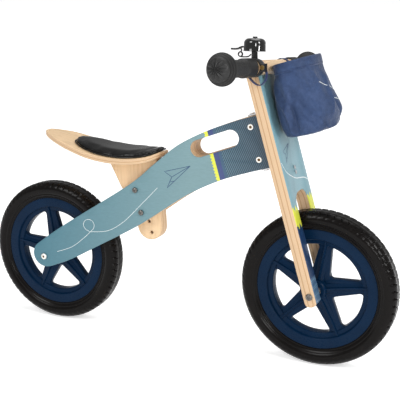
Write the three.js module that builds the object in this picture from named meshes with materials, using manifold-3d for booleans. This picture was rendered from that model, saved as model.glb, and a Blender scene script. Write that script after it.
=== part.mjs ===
// Wooden balance bike: a splayed plywood frame, a flat plywood fork that steers on two
// pivot bolts, two foam-tyred wheels, a height-adjustable saddle, a bell and a bag.
// Millimetres, +X forward, +Y to the rider's left, +Z up. The origin is on the ground,
// midway between the axles.

import * as THREE from 'three';
import { mergeVertices } from 'three/addons/utils/BufferGeometryUtils.js';
import Module from 'manifold-3d';

const wasm = await Module();
wasm.setup();

// ---------------------------------------------------------------- driving dimensions

const GAP = 0.3;                 // clearance between pieces that touch
const WHEELBASE = 578;
const WHEEL_R = 150;
const REAR_X = -WHEELBASE / 2;
const FRONT_X = WHEELBASE / 2;

const FORK_TILT = THREE.MathUtils.degToRad(16.5);
const FORK_T = 24;               // plywood thickness
const FORK_HALF_W = 59;
const FORK_SLOT_HALF_W = 33;
const FORK_SLOT_TOP = 187;       // along the fork, measured from the front axle
const FORK_TOP = 428;
const FORK_FOOT = -20;

const STEER_BACK = -42;          // steering axis, along the fork's own X
const HEAD_BACK = -23;           // front edge of the frame, along the fork's own X
const HEAD_LOW = 242;            // underside of the frame at the head, along the fork
const HEAD_HIGH = 341;
const HEAD_FLAT = -62;           // the head's straight edges reach back to here

const PANEL_T = 12;
const CORE_T = 24;
const BEND_X = 11;               // behind here the two panels spread apart
const BEND_HALF = 50;
const SPLAY = 0.11;              // sideways spread per millimetre of length

const SEAT_T = 11;
const PAD_T = 14;
const SUPPORT_T = 24;

const BAR_X = 14.8;              // handlebar centre, in the fork's own frame
const BAR_Z = 419;
const BAR_R = 13;
const BAR_HALF = 234;
const BAR_TILT = THREE.MathUtils.degToRad(3.4);   // the right grip sits a little higher
const GRIP_IN = 98;
const BELL_Y = -79;

const TYRE_HALF_W = 24;
const RIM_R = 116;
const HUB_R = 20;
const HUB_HALF_W = 22;
const AXLE_R = 4;
const WHEEL_SIDES = 32;          // shared by tyre and rim, so that their facets nest

// ---------------------------------------------------------------- colours

const BLUE = 0x6f9fae;
const WOOD = 0xe3c295;
const NAVY = 0x14304f;
const RUBBER = 0x262424;
const GRIP = 0x2b2b2b;
const STEEL = 0xb9bcc0;
const BLACK = 0x161616;
const BRASS = 0xc9a25a;
const FABRIC = 0x2f4372;
const NYLON = 0xd8d6cf;

const bike = new THREE.Group();
const front = new THREE.Group();
front.position.set(FRONT_X, 0, WHEEL_R);
front.rotation.y = -FORK_TILT;
bike.add(front);

// Pieces on the handlebar are drawn about its centre.
const bar = new THREE.Group();
bar.position.set(BAR_X, 0, BAR_Z);
bar.rotation.x = -BAR_TILT;
front.add(bar);

// ---------------------------------------------------------------- helpers

function solidOf(geometry) {
  const bare = geometry.clone();
  bare.deleteAttribute('normal');
  bare.deleteAttribute('uv');
  const merged = mergeVertices(bare, 1e-4);
  return new wasm.Manifold(new wasm.Mesh({
    numProp: 3,
    vertProperties: new Float32Array(merged.attributes.position.array),
    triVerts: new Uint32Array(merged.index.array),
  }));
}

function geometryOf(solid) {
  const mesh = solid.getMesh();
  const geometry = new THREE.BufferGeometry();
  geometry.setAttribute('position', new THREE.BufferAttribute(new Float32Array(mesh.vertProperties), 3));
  geometry.setIndex(new THREE.BufferAttribute(new Uint32Array(mesh.triVerts), 1));
  geometry.computeVertexNormals();
  return geometry;
}

function cut(geometry, ...tools) {
  let solid = solidOf(geometry);
  for (const tool of tools) {
    solid = solid.subtract(solidOf(tool));
  }
  return geometryOf(solid);
}

function join(geometry, ...others) {
  let solid = solidOf(geometry);
  for (const other of others) {
    solid = solid.add(solidOf(other));
  }
  return geometryOf(solid);
}

function meet(geometry, other) {
  return geometryOf(solidOf(geometry).intersect(solidOf(other)));
}

function addPart(group, name, geometry, color, roughness, metalness = 0) {
  const material = new THREE.MeshStandardMaterial({ color, roughness, metalness });
  const mesh = new THREE.Mesh(geometry, material);
  mesh.name = name;
  group.add(mesh);
}

function extrude(shape, depth, curveSegments = 6) {
  return new THREE.ExtrudeGeometry(shape, { depth, bevelEnabled: false, curveSegments });
}

// An outline drawn in X and Z, made into a board between two values of Y.
function boardXZ(shape, yLow, yHigh, curveSegments) {
  return extrude(shape, yHigh - yLow, curveSegments).rotateX(Math.PI / 2).translate(0, yHigh, 0);
}

// An outline drawn in X and Y, made into a board between two values of Z.
function boardXY(shape, zLow, zHigh, curveSegments) {
  return extrude(shape, zHigh - zLow, curveSegments).translate(0, 0, zLow);
}

// An outline drawn in Y and Z, made into a board between two values of X.
function boardYZ(shape, xLow, xHigh, curveSegments) {
  const turn = new THREE.Matrix4().makeBasis(
    new THREE.Vector3(0, 1, 0), new THREE.Vector3(0, 0, 1), new THREE.Vector3(1, 0, 0));
  return extrude(shape, xHigh - xLow, curveSegments).applyMatrix4(turn).translate(xLow, 0, 0);
}

function rodY(radius, yLow, yHigh, x, z, sides = 16) {
  return new THREE.CylinderGeometry(radius, radius, yHigh - yLow, sides)
    .translate(x, (yLow + yHigh) / 2, z);
}

function rodX(radius, xLow, xHigh, y, z, sides = 12) {
  return new THREE.CylinderGeometry(radius, radius, xHigh - xLow, sides)
    .rotateZ(Math.PI / 2).translate((xLow + xHigh) / 2, y, z);
}

function rodZ(radius, zLow, zHigh, x, y, sides = 14) {
  return new THREE.CylinderGeometry(radius, radius, zHigh - zLow, sides)
    .rotateX(Math.PI / 2).translate(x, y, (zLow + zHigh) / 2);
}

function box(xLow, xHigh, yLow, yHigh, zLow, zHigh) {
  return new THREE.BoxGeometry(xHigh - xLow, yHigh - yLow, zHigh - zLow)
    .translate((xLow + xHigh) / 2, (yLow + yHigh) / 2, (zLow + zHigh) / 2);
}

// A round piece about the Y axis, from [radius, y] pairs that start and end on the axis
// or close on themselves. The pairs run from low y to high y along the outside.
function turnedY(pairs, sides, x = 0, z = 0) {
  const profile = pairs.map(([radius, y]) => new THREE.Vector2(radius, y));
  return new THREE.LatheGeometry(profile, sides).translate(x, 0, z);
}

function tubeY(outer, inner, yLow, yHigh, x, z, sides = 16) {
  return turnedY([[inner, yLow], [outer, yLow], [outer, yHigh], [inner, yHigh], [inner, yLow]],
    sides, x, z);
}

function mirrored(side, yNear, yFar) {
  return side > 0 ? [yNear, yFar] : [-yFar, -yNear];
}

// A point given in the fork's own X and Z, in the bike's frame.
function fromFork(x, z) {
  return new THREE.Vector2(
    FRONT_X + x * Math.cos(FORK_TILT) - z * Math.sin(FORK_TILT),
    WHEEL_R + x * Math.sin(FORK_TILT) + z * Math.cos(FORK_TILT));
}

function points(pairs) {
  return pairs.map(([x, y]) => new THREE.Vector2(x, y));
}

// A shape drawn about the handlebar's centre, moved into the fork's own frame.
function fromBar(geometry) {
  return geometry.rotateX(-BAR_TILT).translate(BAR_X, 0, BAR_Z);
}

const SIDES = [['right', -1], ['left', 1]];

// ---------------------------------------------------------------- frame

function panelInner(x) {
  const behind = BEND_X + BEND_HALF - x;
  if (behind <= 0) {
    return CORE_T / 2;
  }
  if (behind >= 2 * BEND_HALF) {
    return CORE_T / 2 + SPLAY * (BEND_X - x);
  }
  return CORE_T / 2 + SPLAY * behind * behind / (4 * BEND_HALF);
}

function panelOuter(x) {
  return panelInner(x) + PANEL_T;
}

// Side outline of the frame: a long S-shaped board with a round tail and a square head.
function frameOutline() {
  const tailR = 28;
  const tail = new THREE.Vector2(-286, 155);
  const topAngle = THREE.MathUtils.degToRad(123);
  const lowAngle = THREE.MathUtils.degToRad(-70);
  const headTopFront = fromFork(HEAD_BACK, HEAD_HIGH);
  const headTopBack = fromFork(HEAD_FLAT, HEAD_HIGH);
  const headLowFront = fromFork(HEAD_BACK, HEAD_LOW);
  const headLowBack = fromFork(HEAD_FLAT, HEAD_LOW);
  const shape = new THREE.Shape();
  shape.moveTo(tail.x + tailR * Math.cos(lowAngle), tail.y + tailR * Math.sin(lowAngle));
  shape.splineThru([...points([[-230, 148], [-160, 187], [-72, 238], [22, 303], [95, 341]]), headLowBack]);
  shape.lineTo(headLowFront.x, headLowFront.y);
  shape.lineTo(headTopFront.x, headTopFront.y);
  shape.lineTo(headTopBack.x, headTopBack.y);
  shape.splineThru([...points([[72, 436], [10, 404], [-42, 362], [-97, 316], [-241, 222]]),
    new THREE.Vector2(tail.x + tailR * Math.cos(topAngle), tail.y + tailR * Math.sin(topAngle))]);
  shape.absarc(tail.x, tail.y, tailR, topAngle, 2 * Math.PI + lowAngle, false);
  return shape;
}

// Carrying slot behind the head, a straight slot with round ends.
const SLOT = { x: 84.5, z: 411.5, half: 35, r: 16.5, rise: THREE.MathUtils.degToRad(20) };

function slotCutter() {
  const shape = new THREE.Shape();
  shape.absarc(SLOT.half, 0, SLOT.r, -Math.PI / 2, Math.PI / 2, false);
  shape.absarc(-SLOT.half, 0, SLOT.r, Math.PI / 2, 3 * Math.PI / 2, false);
  const stretch = 200;
  return boardXZ(shape, -stretch / 2, stretch / 2, 6).rotateY(-SLOT.rise).translate(SLOT.x, 0, SLOT.z);
}

const SEAT_BOLTS = [['upper', -81, 308], ['lower', -69, 263]];
const SEAT_HOLE_R = 3.4;
const HOLE_STEP = [6, -22.5];    // one step down the saddle support's row of holes
const BARREL_NUTS = [['upper', 323], ['lower', 261]];
const BARREL_R = 5;
const STEER_BOLT_R = 3;

function crossHole(radius, x, z) {
  return rodY(radius, -90, 90, x, z);
}

function framePanel(side) {
  const plan = new THREE.Shape();
  const stations = [-340, BEND_X - BEND_HALF, BEND_X - 20, BEND_X + 10, BEND_X + BEND_HALF, 240];
  const inner = stations.map((x) => new THREE.Vector2(x, side * panelInner(x)));
  const outer = stations.map((x) => new THREE.Vector2(x, side * panelOuter(x))).reverse();
  plan.setFromPoints(side < 0 ? [...outer.reverse(), ...inner.reverse()] : [...inner, ...outer]);
  const slab = boardXY(plan, 90, 500);
  const reach = side > 0 ? [0, 90] : [-90, 0];
  const panel = meet(slab, boardXZ(frameOutline(), reach[0], reach[1], 3));
  const holes = [slotCutter(), crossHole(AXLE_R + GAP, REAR_X, WHEEL_R)];
  for (const [, x, z] of SEAT_BOLTS) {
    holes.push(crossHole(SEAT_HOLE_R, x, z));
  }
  for (const [, z] of BARREL_NUTS) {
    const at = fromFork(STEER_BACK, z);
    holes.push(crossHole(BARREL_R + GAP, at.x, at.y));
  }
  return cut(panel, ...holes);
}

// The core fills the sandwich from just behind the slot to the head.
function frameCore() {
  const half = CORE_T / 2 - GAP;
  const ahead = new THREE.Shape(points([[24, 250], [260, 250], [260, 520], [-24, 520], [-24, 380]]));
  const board = meet(boardXZ(frameOutline(), -half, half, 3), boardXZ(ahead, -half, half));
  const holes = [slotCutter()];
  for (const [, z] of BARREL_NUTS) {
    const at = fromFork(STEER_BACK, z);
    holes.push(crossHole(BARREL_R + GAP, at.x, at.y));
  }
  const [upper, lower] = BARREL_NUTS.map(([, z]) => z);
  for (const [from, to] of [[lower, HEAD_LOW - 5], [upper, HEAD_HIGH + 5]]) {
    const hole = rodZ(STEER_BOLT_R + GAP, Math.min(from, to), Math.max(from, to), STEER_BACK, 0);
    holes.push(hole.rotateY(-FORK_TILT).translate(FRONT_X, 0, WHEEL_R));
  }
  return cut(board, ...holes);
}

function barrelNut(z) {
  const half = CORE_T / 2 + PANEL_T + 1;
  const at = fromFork(STEER_BACK, z);
  const hole = rodZ(STEER_BOLT_R + GAP, z - 10, z + 10, STEER_BACK, 0, 12);
  hole.rotateY(-FORK_TILT).translate(FRONT_X, 0, WHEEL_R);
  return cut(rodY(BARREL_R, -half, half, at.x, at.y), hole);
}

// ---------------------------------------------------------------- saddle

// Underside of the saddle board along the bike's centre line.
const SEAT_LINE = points([[-306, 400], [-265, 391], [-225, 380], [-175, 367.5], [-130, 362], [-88, 362],
  [-52, 367], [-26, 378]]);

function seatStrip(low, high) {
  const line = new THREE.SplineCurve(SEAT_LINE).getPoints(20);
  const lower = line.map((p) => new THREE.Vector2(p.x, p.y + low));
  const upper = line.map((p) => new THREE.Vector2(p.x, p.y + high)).reverse();
  return boardXZ(new THREE.Shape([...lower, ...upper]), -90, 90);
}

// Right-hand half of each plan outline, from the tail to the nose.
const BOARD_PLAN = [[-305, -8], [-296, -19], [-280, -31], [-258, -43], [-228, -52], [-190, -58],
  [-155, -59], [-100, -57], [-55, -45], [-34, -20]];
const PAD_PLAN = [[-227, -13], [-220, -25], [-204, -36], [-180, -45], [-150, -50], [-100, -50],
  [-66, -41], [-44, -24], [-38, -14]];

function seatPlan(right) {
  const left = right.map(([x, y]) => [x, -y]).reverse();
  const shape = new THREE.Shape();
  shape.moveTo(...right[0]);
  shape.splineThru(points(right.slice(1)));
  shape.lineTo(...left[0]);
  shape.splineThru(points(left.slice(1)));
  return boardXY(shape, 300, 480, 3);
}

const SEAT_SCREWS = [['rear', -125], ['front', -62]];

function seatHeightAt(x) {
  const line = new THREE.SplineCurve(SEAT_LINE).getPoints(80);
  const ahead = line.findIndex((p) => p.x >= x);
  const [a, b] = [line[ahead - 1], line[ahead]];
  return a.y + (b.y - a.y) * (x - a.x) / (b.x - a.x);
}

function seatScrewHole(x, radius) {
  return rodZ(radius, seatHeightAt(x) - 34, seatHeightAt(x) + SEAT_T + 5, x, 0, 12);
}

function seatBoard() {
  const board = meet(seatStrip(0, SEAT_T), seatPlan(BOARD_PLAN));
  const screws = SEAT_SCREWS.flatMap(([, x]) => [
    seatScrewHole(x, 2.5),
    rodZ(5.3, seatHeightAt(x) + SEAT_T - 4, seatHeightAt(x) + SEAT_T + 5, x, 0),
  ]);
  return cut(board, ...screws);
}

function seatPad() {
  return meet(seatStrip(SEAT_T + GAP, SEAT_T + PAD_T), seatPlan(PAD_PLAN));
}

function seatScrew(x) {
  const top = seatHeightAt(x) + SEAT_T - 1;
  return join(rodZ(2.2, seatHeightAt(x) - 32, top, x, 0, 12), rodZ(5, top - 2.6, top, x, 0));
}

// The support hangs from the saddle, passes between the panels and ends in a round foot.
function seatSupport() {
  const foot = { x: -61, z: 230, r: 27.5 };
  const top = 361;
  const shape = new THREE.Shape();
  shape.moveTo(-160, top + 6);
  shape.lineTo(-126, 307);
  shape.quadraticCurveTo(-95, 264, foot.x - foot.r, foot.z);
  shape.absarc(foot.x, foot.z, foot.r, Math.PI, 2 * Math.PI, false);
  shape.quadraticCurveTo(-38, 300, -44, top + 12);
  const board = boardXZ(shape, -SUPPORT_T / 2, SUPPORT_T / 2, 8);
  const holes = [seatStrip(-GAP, 80)];
  for (const [, x] of SEAT_SCREWS) {
    holes.push(seatScrewHole(x, 2.5));
  }
  const [, x0, z0] = SEAT_BOLTS[0];
  for (let i = 0; i < 5; i += 1) {
    holes.push(crossHole(SEAT_HOLE_R, x0 + i * HOLE_STEP[0], z0 + i * HOLE_STEP[1]));
  }
  return cut(board, ...holes);
}

function seatBolt(x, z) {
  const headR = 5.5;
  const under = panelOuter(x - headR) + GAP;
  const dome = turnedY([[0, -under - 3], [headR - 2, -under - 2.6], [headR, -under - 1], [headR, -under],
    [0, -under]], 14, x, z);
  return join(dome, rodY(STEER_BOLT_R, -under - 1, under - 2, x, z, 12));
}

function seatNut(x, z) {
  const headR = 5.5;
  const under = panelOuter(x - headR) + GAP;
  const flange = tubeY(headR, 2, under, under + 2.5, x, z);
  return join(flange, rodY(2.6, under + 1.2, under + 2.5, x, z));
}

// ---------------------------------------------------------------- wheels

// Foam tyre with a flat tread, round shoulders and a root that sits in the rim's channel.
function tyre() {
  const shoulderR = 16;
  const crownHalf = TYRE_HALF_W - shoulderR;
  const right = [];
  for (let i = 0; i <= 3; i += 1) {
    const angle = (i / 3) * Math.PI / 2;
    right.push([WHEEL_R - shoulderR + shoulderR * Math.sin(angle), crownHalf + shoulderR * Math.cos(angle)]);
  }
  const half = [[108.5, 11.5], [RIM_R + GAP, 11.5], [RIM_R + GAP, 18], [124, TYRE_HALF_W], ...right];
  const low = half.map(([r, y]) => [r, -y]);
  const ring = [...low, ...half.reverse(), low[0]];
  return turnedY(ring, WHEEL_SIDES);
}

const SPOKES = 5;

// One window between two spokes: a round-cornered triangle with an arc on its outer side.
function windowPath() {
  const shape = new THREE.Shape();
  const outerR = 87;
  const vertexR = 31;
  const spokeEndHalf = 11.5;
  const round = 9;
  const cornerAngle = Math.PI / SPOKES - Math.asin(spokeEndHalf / outerR);
  const trimmed = cornerAngle - round / outerR;
  const at = (radius, angle) => [radius * Math.cos(angle), radius * Math.sin(angle)];
  const [ox, oy] = at(outerR, cornerAngle);
  const length = Math.hypot(ox - vertexR, oy);
  const step = [(ox - vertexR) / length * round, oy / length * round];
  shape.moveTo(vertexR + step[0], -step[1]);
  shape.lineTo(ox - step[0], -(oy - step[1]));
  shape.quadraticCurveTo(ox, -oy, ...at(outerR, -trimmed));
  shape.absarc(0, 0, outerR, -trimmed, trimmed, false);
  shape.quadraticCurveTo(ox, oy, ox - step[0], oy - step[1]);
  shape.lineTo(vertexR + step[0], step[1]);
  shape.quadraticCurveTo(vertexR, 0, vertexR + step[0], -step[1]);
  return shape;
}

// Five-spoke wheel: channelled rim, ribbed spokes and a bored hub.
function rim(phase) {
  const lip = 17;
  const half = [[87, 9], [95.5, 11.5], [98, lip], [RIM_R, lip], [RIM_R, 12], [108, 12]];
  const low = half.map(([r, y]) => [r, -y]);
  const ring = [...low, ...half.reverse(), low[0]];
  const webHalf = 7;
  const web = turnedY([[0, -webHalf], [93, -webHalf], [93, webHalf], [0, webHalf]], WHEEL_SIDES);
  const hub = turnedY([[0, -HUB_HALF_W], [HUB_R - 2, -HUB_HALF_W], [HUB_R, -HUB_HALF_W + 2],
    [HUB_R, HUB_HALF_W - 2], [HUB_R - 2, HUB_HALF_W], [0, HUB_HALF_W]], 24);
  const cutters = [rodY(8.3, -60, 60, 0, 0)];
  const ribs = [];
  for (let i = 0; i < SPOKES; i += 1) {
    const spokeAngle = phase + (i * 2 * Math.PI) / SPOKES;
    const windowAngle = spokeAngle + Math.PI / SPOKES;
    cutters.push(boardXZ(windowPath(), -60, 60, 3).rotateY(-windowAngle));
    ribs.push(box(HUB_R - 4, 94, -11, 11, -3, 3).rotateY(-spokeAngle));
  }
  return cut(join(turnedY(ring, WHEEL_SIDES), web, hub, ...ribs), ...cutters);
}

// Flanged sleeve that lines one end of a hub.
function hubBush(side) {
  const [a, b] = mirrored(side, 6, HUB_HALF_W + GAP);
  const [c, d] = mirrored(side, HUB_HALF_W + GAP, HUB_HALF_W + 2.3);
  return join(tubeY(8, AXLE_R + GAP, a, b, 0, 0), tubeY(11, AXLE_R + GAP, c, d, 0, 0));
}

function hexNut(side, yNear, yFar, across = 13) {
  const [a, b] = mirrored(side, yNear, yFar);
  const nut = new THREE.CylinderGeometry(across / Math.sqrt(3), across / Math.sqrt(3), b - a, 6)
    .translate(0, (a + b) / 2, 0);
  return cut(nut, rodY(AXLE_R + GAP, a - 1, b + 1, 0, 0));
}

function axleBolt(under) {
  const headR = 6.5;
  const head = turnedY([[0, -under - 3.2], [headR - 2.5, -under - 3], [headR, -under - 1.4],
    [headR, -under], [0, -under]], 16);
  return join(head, rodY(AXLE_R, -under - 1, under - 1.5, 0, 0));
}

function axleCap(under) {
  const headR = 6.5;
  return turnedY([[0, under], [headR, under], [headR, under + 1.4], [headR - 2.5, under + 3],
    [0, under + 3.2]], 16);
}

// ---------------------------------------------------------------- fork

const BRACKET = { t: 2, half: 9, washer: 1, screws: [9, 18] };
const BOLT_HEAD = 1.8;
const BRACKET_LEGS = [['upper', 1, HEAD_HIGH], ['lower', -1, HEAD_LOW]];
const BAR_SCREWS = 35;

function forkBoard() {
  const slotCorner = 24;
  const topCorner = 8;
  const outline = new THREE.Shape();
  outline.moveTo(-FORK_HALF_W, FORK_FOOT);
  outline.lineTo(-FORK_SLOT_HALF_W, FORK_FOOT);
  outline.lineTo(-FORK_SLOT_HALF_W, FORK_SLOT_TOP - slotCorner);
  const slotX = FORK_SLOT_HALF_W - slotCorner;
  const slotZ = FORK_SLOT_TOP - slotCorner;
  outline.absarc(-slotX, slotZ, slotCorner, Math.PI, Math.PI / 2, true);
  outline.absarc(slotX, slotZ, slotCorner, Math.PI / 2, 0, true);
  outline.lineTo(FORK_SLOT_HALF_W, FORK_FOOT);
  outline.lineTo(FORK_HALF_W, FORK_FOOT);
  outline.lineTo(FORK_HALF_W, FORK_TOP - topCorner);
  outline.absarc(FORK_HALF_W - topCorner, FORK_TOP - topCorner, topCorner, 0, Math.PI / 2, false);
  outline.absarc(-FORK_HALF_W + topCorner, FORK_TOP - topCorner, topCorner, Math.PI / 2, Math.PI, false);
  const half = FORK_T / 2;
  const footR = half - 1;
  const profile = new THREE.Shape();
  profile.moveTo(-half, FORK_TOP + 5);
  profile.lineTo(-half, FORK_FOOT + footR);
  profile.absarc(-half + footR, FORK_FOOT + footR, footR, Math.PI, 1.5 * Math.PI, false);
  profile.absarc(half - footR, FORK_FOOT + footR, footR, 1.5 * Math.PI, 2 * Math.PI, false);
  profile.lineTo(half, FORK_TOP + 5);
  const board = meet(boardYZ(outline, -20, 20, 5), boardXZ(profile, -70, 70, 4));
  const holes = [fromBar(rodY(BAR_R + GAP, -80, 80, 0, 0, 32)), rodY(AXLE_R + GAP, -80, 80, 0, 0)];
  for (const [, up, z] of BRACKET_LEGS) {
    for (const step of BRACKET.screws) {
      holes.push(rodX(2.1, -20, 20, 0, z + up * (BRACKET.washer + 2 * GAP + step)));
    }
  }
  for (const [, side] of SIDES) {
    holes.push(fromBar(rodX(2.5, -40, 10, side * BAR_SCREWS, 0)));
  }
  return cut(board, ...holes);
}

// Steel angle: one leg screwed to the back of the fork, the other reaching over the head.
function steeringBracket(up, edge) {
  const back = -FORK_T / 2 - GAP;
  const near = edge + up * (BRACKET.washer + 2 * GAP);
  const far = near + up * BRACKET.t;
  const tip = near + up * 27;
  const low = Math.min(near, far);
  const plan = new THREE.Shape();
  plan.moveTo(back, -BRACKET.half);
  plan.lineTo(back, BRACKET.half);
  plan.lineTo(STEER_BACK, BRACKET.half);
  plan.absarc(STEER_BACK, 0, BRACKET.half, Math.PI / 2, 1.5 * Math.PI, false);
  const flat = boardXY(plan, low, low + BRACKET.t, 8);
  const upright = box(back - BRACKET.t, back, -BRACKET.half, BRACKET.half,
    Math.min(near, tip), Math.max(near, tip));
  const holes = [rodZ(STEER_BOLT_R + GAP, low - 5, low + 10, STEER_BACK, 0)];
  for (const step of BRACKET.screws) {
    holes.push(rodX(2.1, back - 8, back + 5, 0, near + up * step));
  }
  return cut(join(flat, upright), ...holes);
}

function steeringWasher(up, edge) {
  const [a, b] = [edge + up * GAP, edge + up * (GAP + BRACKET.washer)];
  return cut(rodZ(8, Math.min(a, b), Math.max(a, b), STEER_BACK, 0, 24),
    rodZ(STEER_BOLT_R + GAP, edge - 5, edge + 5, STEER_BACK, 0));
}

function steeringBolt(up, edge, barrelZ) {
  const seat = edge + up * (BRACKET.washer + 3 * GAP + BRACKET.t);
  const top = seat + up * BOLT_HEAD;
  const end = barrelZ - up * 4;
  return join(rodZ(5.5, Math.min(seat, top), Math.max(seat, top), STEER_BACK, 0, 20),
    rodZ(STEER_BOLT_R, Math.min(end, seat + up), Math.max(end, seat + up), STEER_BACK, 0));
}

function bracketScrew(z) {
  const face = FORK_T / 2;
  return join(rodX(3.6, face + GAP, face + 1.8, 0, z, 16),
    rodX(1.8, -face - GAP - BRACKET.t, face + 1, 0, z));
}

// ---------------------------------------------------------------- handlebar

function handlebar() {
  const holes = SIDES.map(([, side]) => rodX(2.5, -30, 6, side * BAR_SCREWS, 0));
  return cut(rodY(BAR_R, -BAR_HALF, BAR_HALF, 0, 0, 32), ...holes);
}

function barScrew(side) {
  const back = -FORK_T / 2 - BAR_X;
  return join(rodX(4.5, back - 3, back - GAP, side * BAR_SCREWS, 0, 16),
    rodX(2.2, back - 1, 5, side * BAR_SCREWS, 0));
}

// Rubber grip: a collar, a neck, three stepped rings and a domed safety end.
function grip(side) {
  const bore = BAR_R + GAP;
  const end = BAR_HALF + GAP;
  const neckR = 14.7;
  const dome = [[20.2, 228], [18.7, 233.5], [14.3, 237.8], [8, 241], [0, 242]];
  const outside = [[15.6, GRIP_IN], [16.7, GRIP_IN + 3], [16.7, GRIP_IN + 34], [neckR, GRIP_IN + 40],
    [neckR, 208], [17, 211.5], [25.5, 214], [27, 215], [27, 217.5], [24.9, 219], [24.9, 222],
    [22.6, 223.4], [22.6, 226.5], ...dome];
  const half = [[0, end], [bore, end], [bore, GRIP_IN], ...outside];
  const pairs = side > 0 ? half : half.map(([r, y]) => [r, -y]).reverse();
  return turnedY(pairs, 20);
}

// ---------------------------------------------------------------- bell

const DOME = { r: 19, low: 28, high: 50, wall: 1.6, corner: 9 };
const STRIKER_PIVOT = [-26, 21];
const COIL_R = 4.2;
const WIRE_R = 0.9;

function bellClamp() {
  const half = 7;
  const ring = tubeY(16.5, BAR_R + GAP, BELL_Y - half, BELL_Y + half, 0, 0, 28);
  const ear = box(13.8, 22, BELL_Y - half, BELL_Y + half, -6, 8);
  const post = box(-5, 6, BELL_Y - 2, BELL_Y + 2, 15, DOME.high - DOME.wall - GAP - 1.5);
  const stud = rodZ(2, DOME.high - 6, DOME.high + 2.5, 0, BELL_Y);
  const screwHole = rodY(2.1, BELL_Y - 20, BELL_Y + 20, 18.5, 1, 12);
  return cut(join(ring, ear, post, stud), screwHole);
}

function bellScrew() {
  const head = rodY(4, BELL_Y - 10, BELL_Y - 7 - GAP, 18.5, 1);
  return join(head, rodY(1.8, BELL_Y - 8, BELL_Y + 6, 18.5, 1, 12));
}

// The dome is a round-shouldered cup with its open side down.
function bellDome() {
  const outside = [[DOME.r, DOME.low]];
  const inside = [];
  for (let i = 0; i <= 4; i += 1) {
    const angle = (i / 4) * Math.PI / 2;
    outside.push([DOME.r - DOME.corner + DOME.corner * Math.cos(angle),
      DOME.high - DOME.corner + DOME.corner * Math.sin(angle)]);
    const innerCorner = DOME.corner - DOME.wall;
    inside.unshift([DOME.r - DOME.corner + innerCorner * Math.cos(angle),
      DOME.high - DOME.corner + innerCorner * Math.sin(angle)]);
  }
  const hole = 2.4;
  const loop = [...outside, [hole, DOME.high], [hole, DOME.high - DOME.wall], ...inside,
    [DOME.r - DOME.wall, DOME.low], outside[0]];
  return turnedY(loop, 24).rotateX(Math.PI / 2).translate(0, BELL_Y, 0);
}

function bellNut() {
  return cut(rodZ(4.6, DOME.high + GAP, DOME.high + 3, 0, BELL_Y, 6),
    rodZ(2.3, DOME.high - 1, DOME.high + 4, 0, BELL_Y));
}

function wire(pairs, sides = 6, steps = 10) {
  const path = new THREE.CatmullRomCurve3(pairs.map(([x, z]) => new THREE.Vector3(x, BELL_Y, z)));
  const section = new THREE.Shape();
  section.absarc(0, 0, WIRE_R, 0, 2 * Math.PI, false);
  const options = { extrudePath: path, steps, curveSegments: sides, bevelEnabled: false };
  return new THREE.ExtrudeGeometry(section, options);
}

// Spring wire: a coil beside the dome and an arm back to the post.
function bellSpring() {
  const [px, pz] = STRIKER_PIVOT;
  const coil = new THREE.TorusGeometry(COIL_R, WIRE_R, 6, 14).rotateX(Math.PI / 2).translate(px, BELL_Y, pz);
  const arm = wire([[px, pz - COIL_R], [px + 6, pz - COIL_R - 0.5], [-12, 17.5], [-6.2, 18.5]]);
  return join(coil, arm);
}

// Thumb lever whose inner end strikes the dome.
function bellStriker() {
  const [px, pz] = STRIKER_PIVOT;
  const strip = new THREE.Shape();
  strip.moveTo(-42, 29.5);
  strip.quadraticCurveTo(-32, 29, -28, 30.5);
  strip.quadraticCurveTo(-24, 32.5, -21.2, 34);
  strip.lineTo(-22.2, 36);
  strip.quadraticCurveTo(-26, 34.4, -29, 33);
  strip.quadraticCurveTo(-34, 31.4, -42, 31.8);
  const lever = boardXZ(strip, BELL_Y - 4, BELL_Y + 4, 5);
  const stem = wire([[px, pz + COIL_R + WIRE_R + 0.5], [px + 1.5, pz + 8], [px, pz + 11.5]], 6, 8);
  return join(lever, stem);
}

// ---------------------------------------------------------------- bag

// A ring of points round the bag at one height: a rounded rectangle in plan.
function bagRing(z, centre, halfDepth, halfWidth, count = 20, squareness = 2.7) {
  const ring = [];
  for (let i = 0; i < count; i += 1) {
    const angle = (i / count) * 2 * Math.PI;
    const bend = (value) => Math.sign(value) * Math.abs(value) ** (2 / squareness);
    const x = centre + halfDepth * bend(Math.cos(angle));
    ring.push(new THREE.Vector3(x, halfWidth * bend(Math.sin(angle)), z));
  }
  return ring;
}

// A closed solid through a stack of rings, capped at its first and last ring.
function loft(rings) {
  const count = rings[0].length;
  const position = rings.flat().flatMap((p) => [p.x, p.y, p.z]);
  const index = [];
  for (let ring = 0; ring + 1 < rings.length; ring += 1) {
    for (let i = 0; i < count; i += 1) {
      const a = ring * count + i;
      const b = ring * count + (i + 1) % count;
      index.push(a, b, a + count, b, b + count, a + count);
    }
  }
  for (const [ring, flip] of [[0, true], [rings.length - 1, false]]) {
    const centre = rings[ring].reduce((sum, p) => sum.add(p), new THREE.Vector3()).divideScalar(count);
    const hub = position.length / 3;
    position.push(centre.x, centre.y, centre.z);
    for (let i = 0; i < count; i += 1) {
      const a = ring * count + i;
      const b = ring * count + (i + 1) % count;
      index.push(hub, ...(flip ? [b, a] : [a, b]));
    }
  }
  const geometry = new THREE.BufferGeometry();
  geometry.setAttribute('position', new THREE.Float32BufferAttribute(position, 3));
  geometry.setIndex(index);
  return geometryOf(solidOf(geometry.deleteAttribute('normal')));
}

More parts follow.
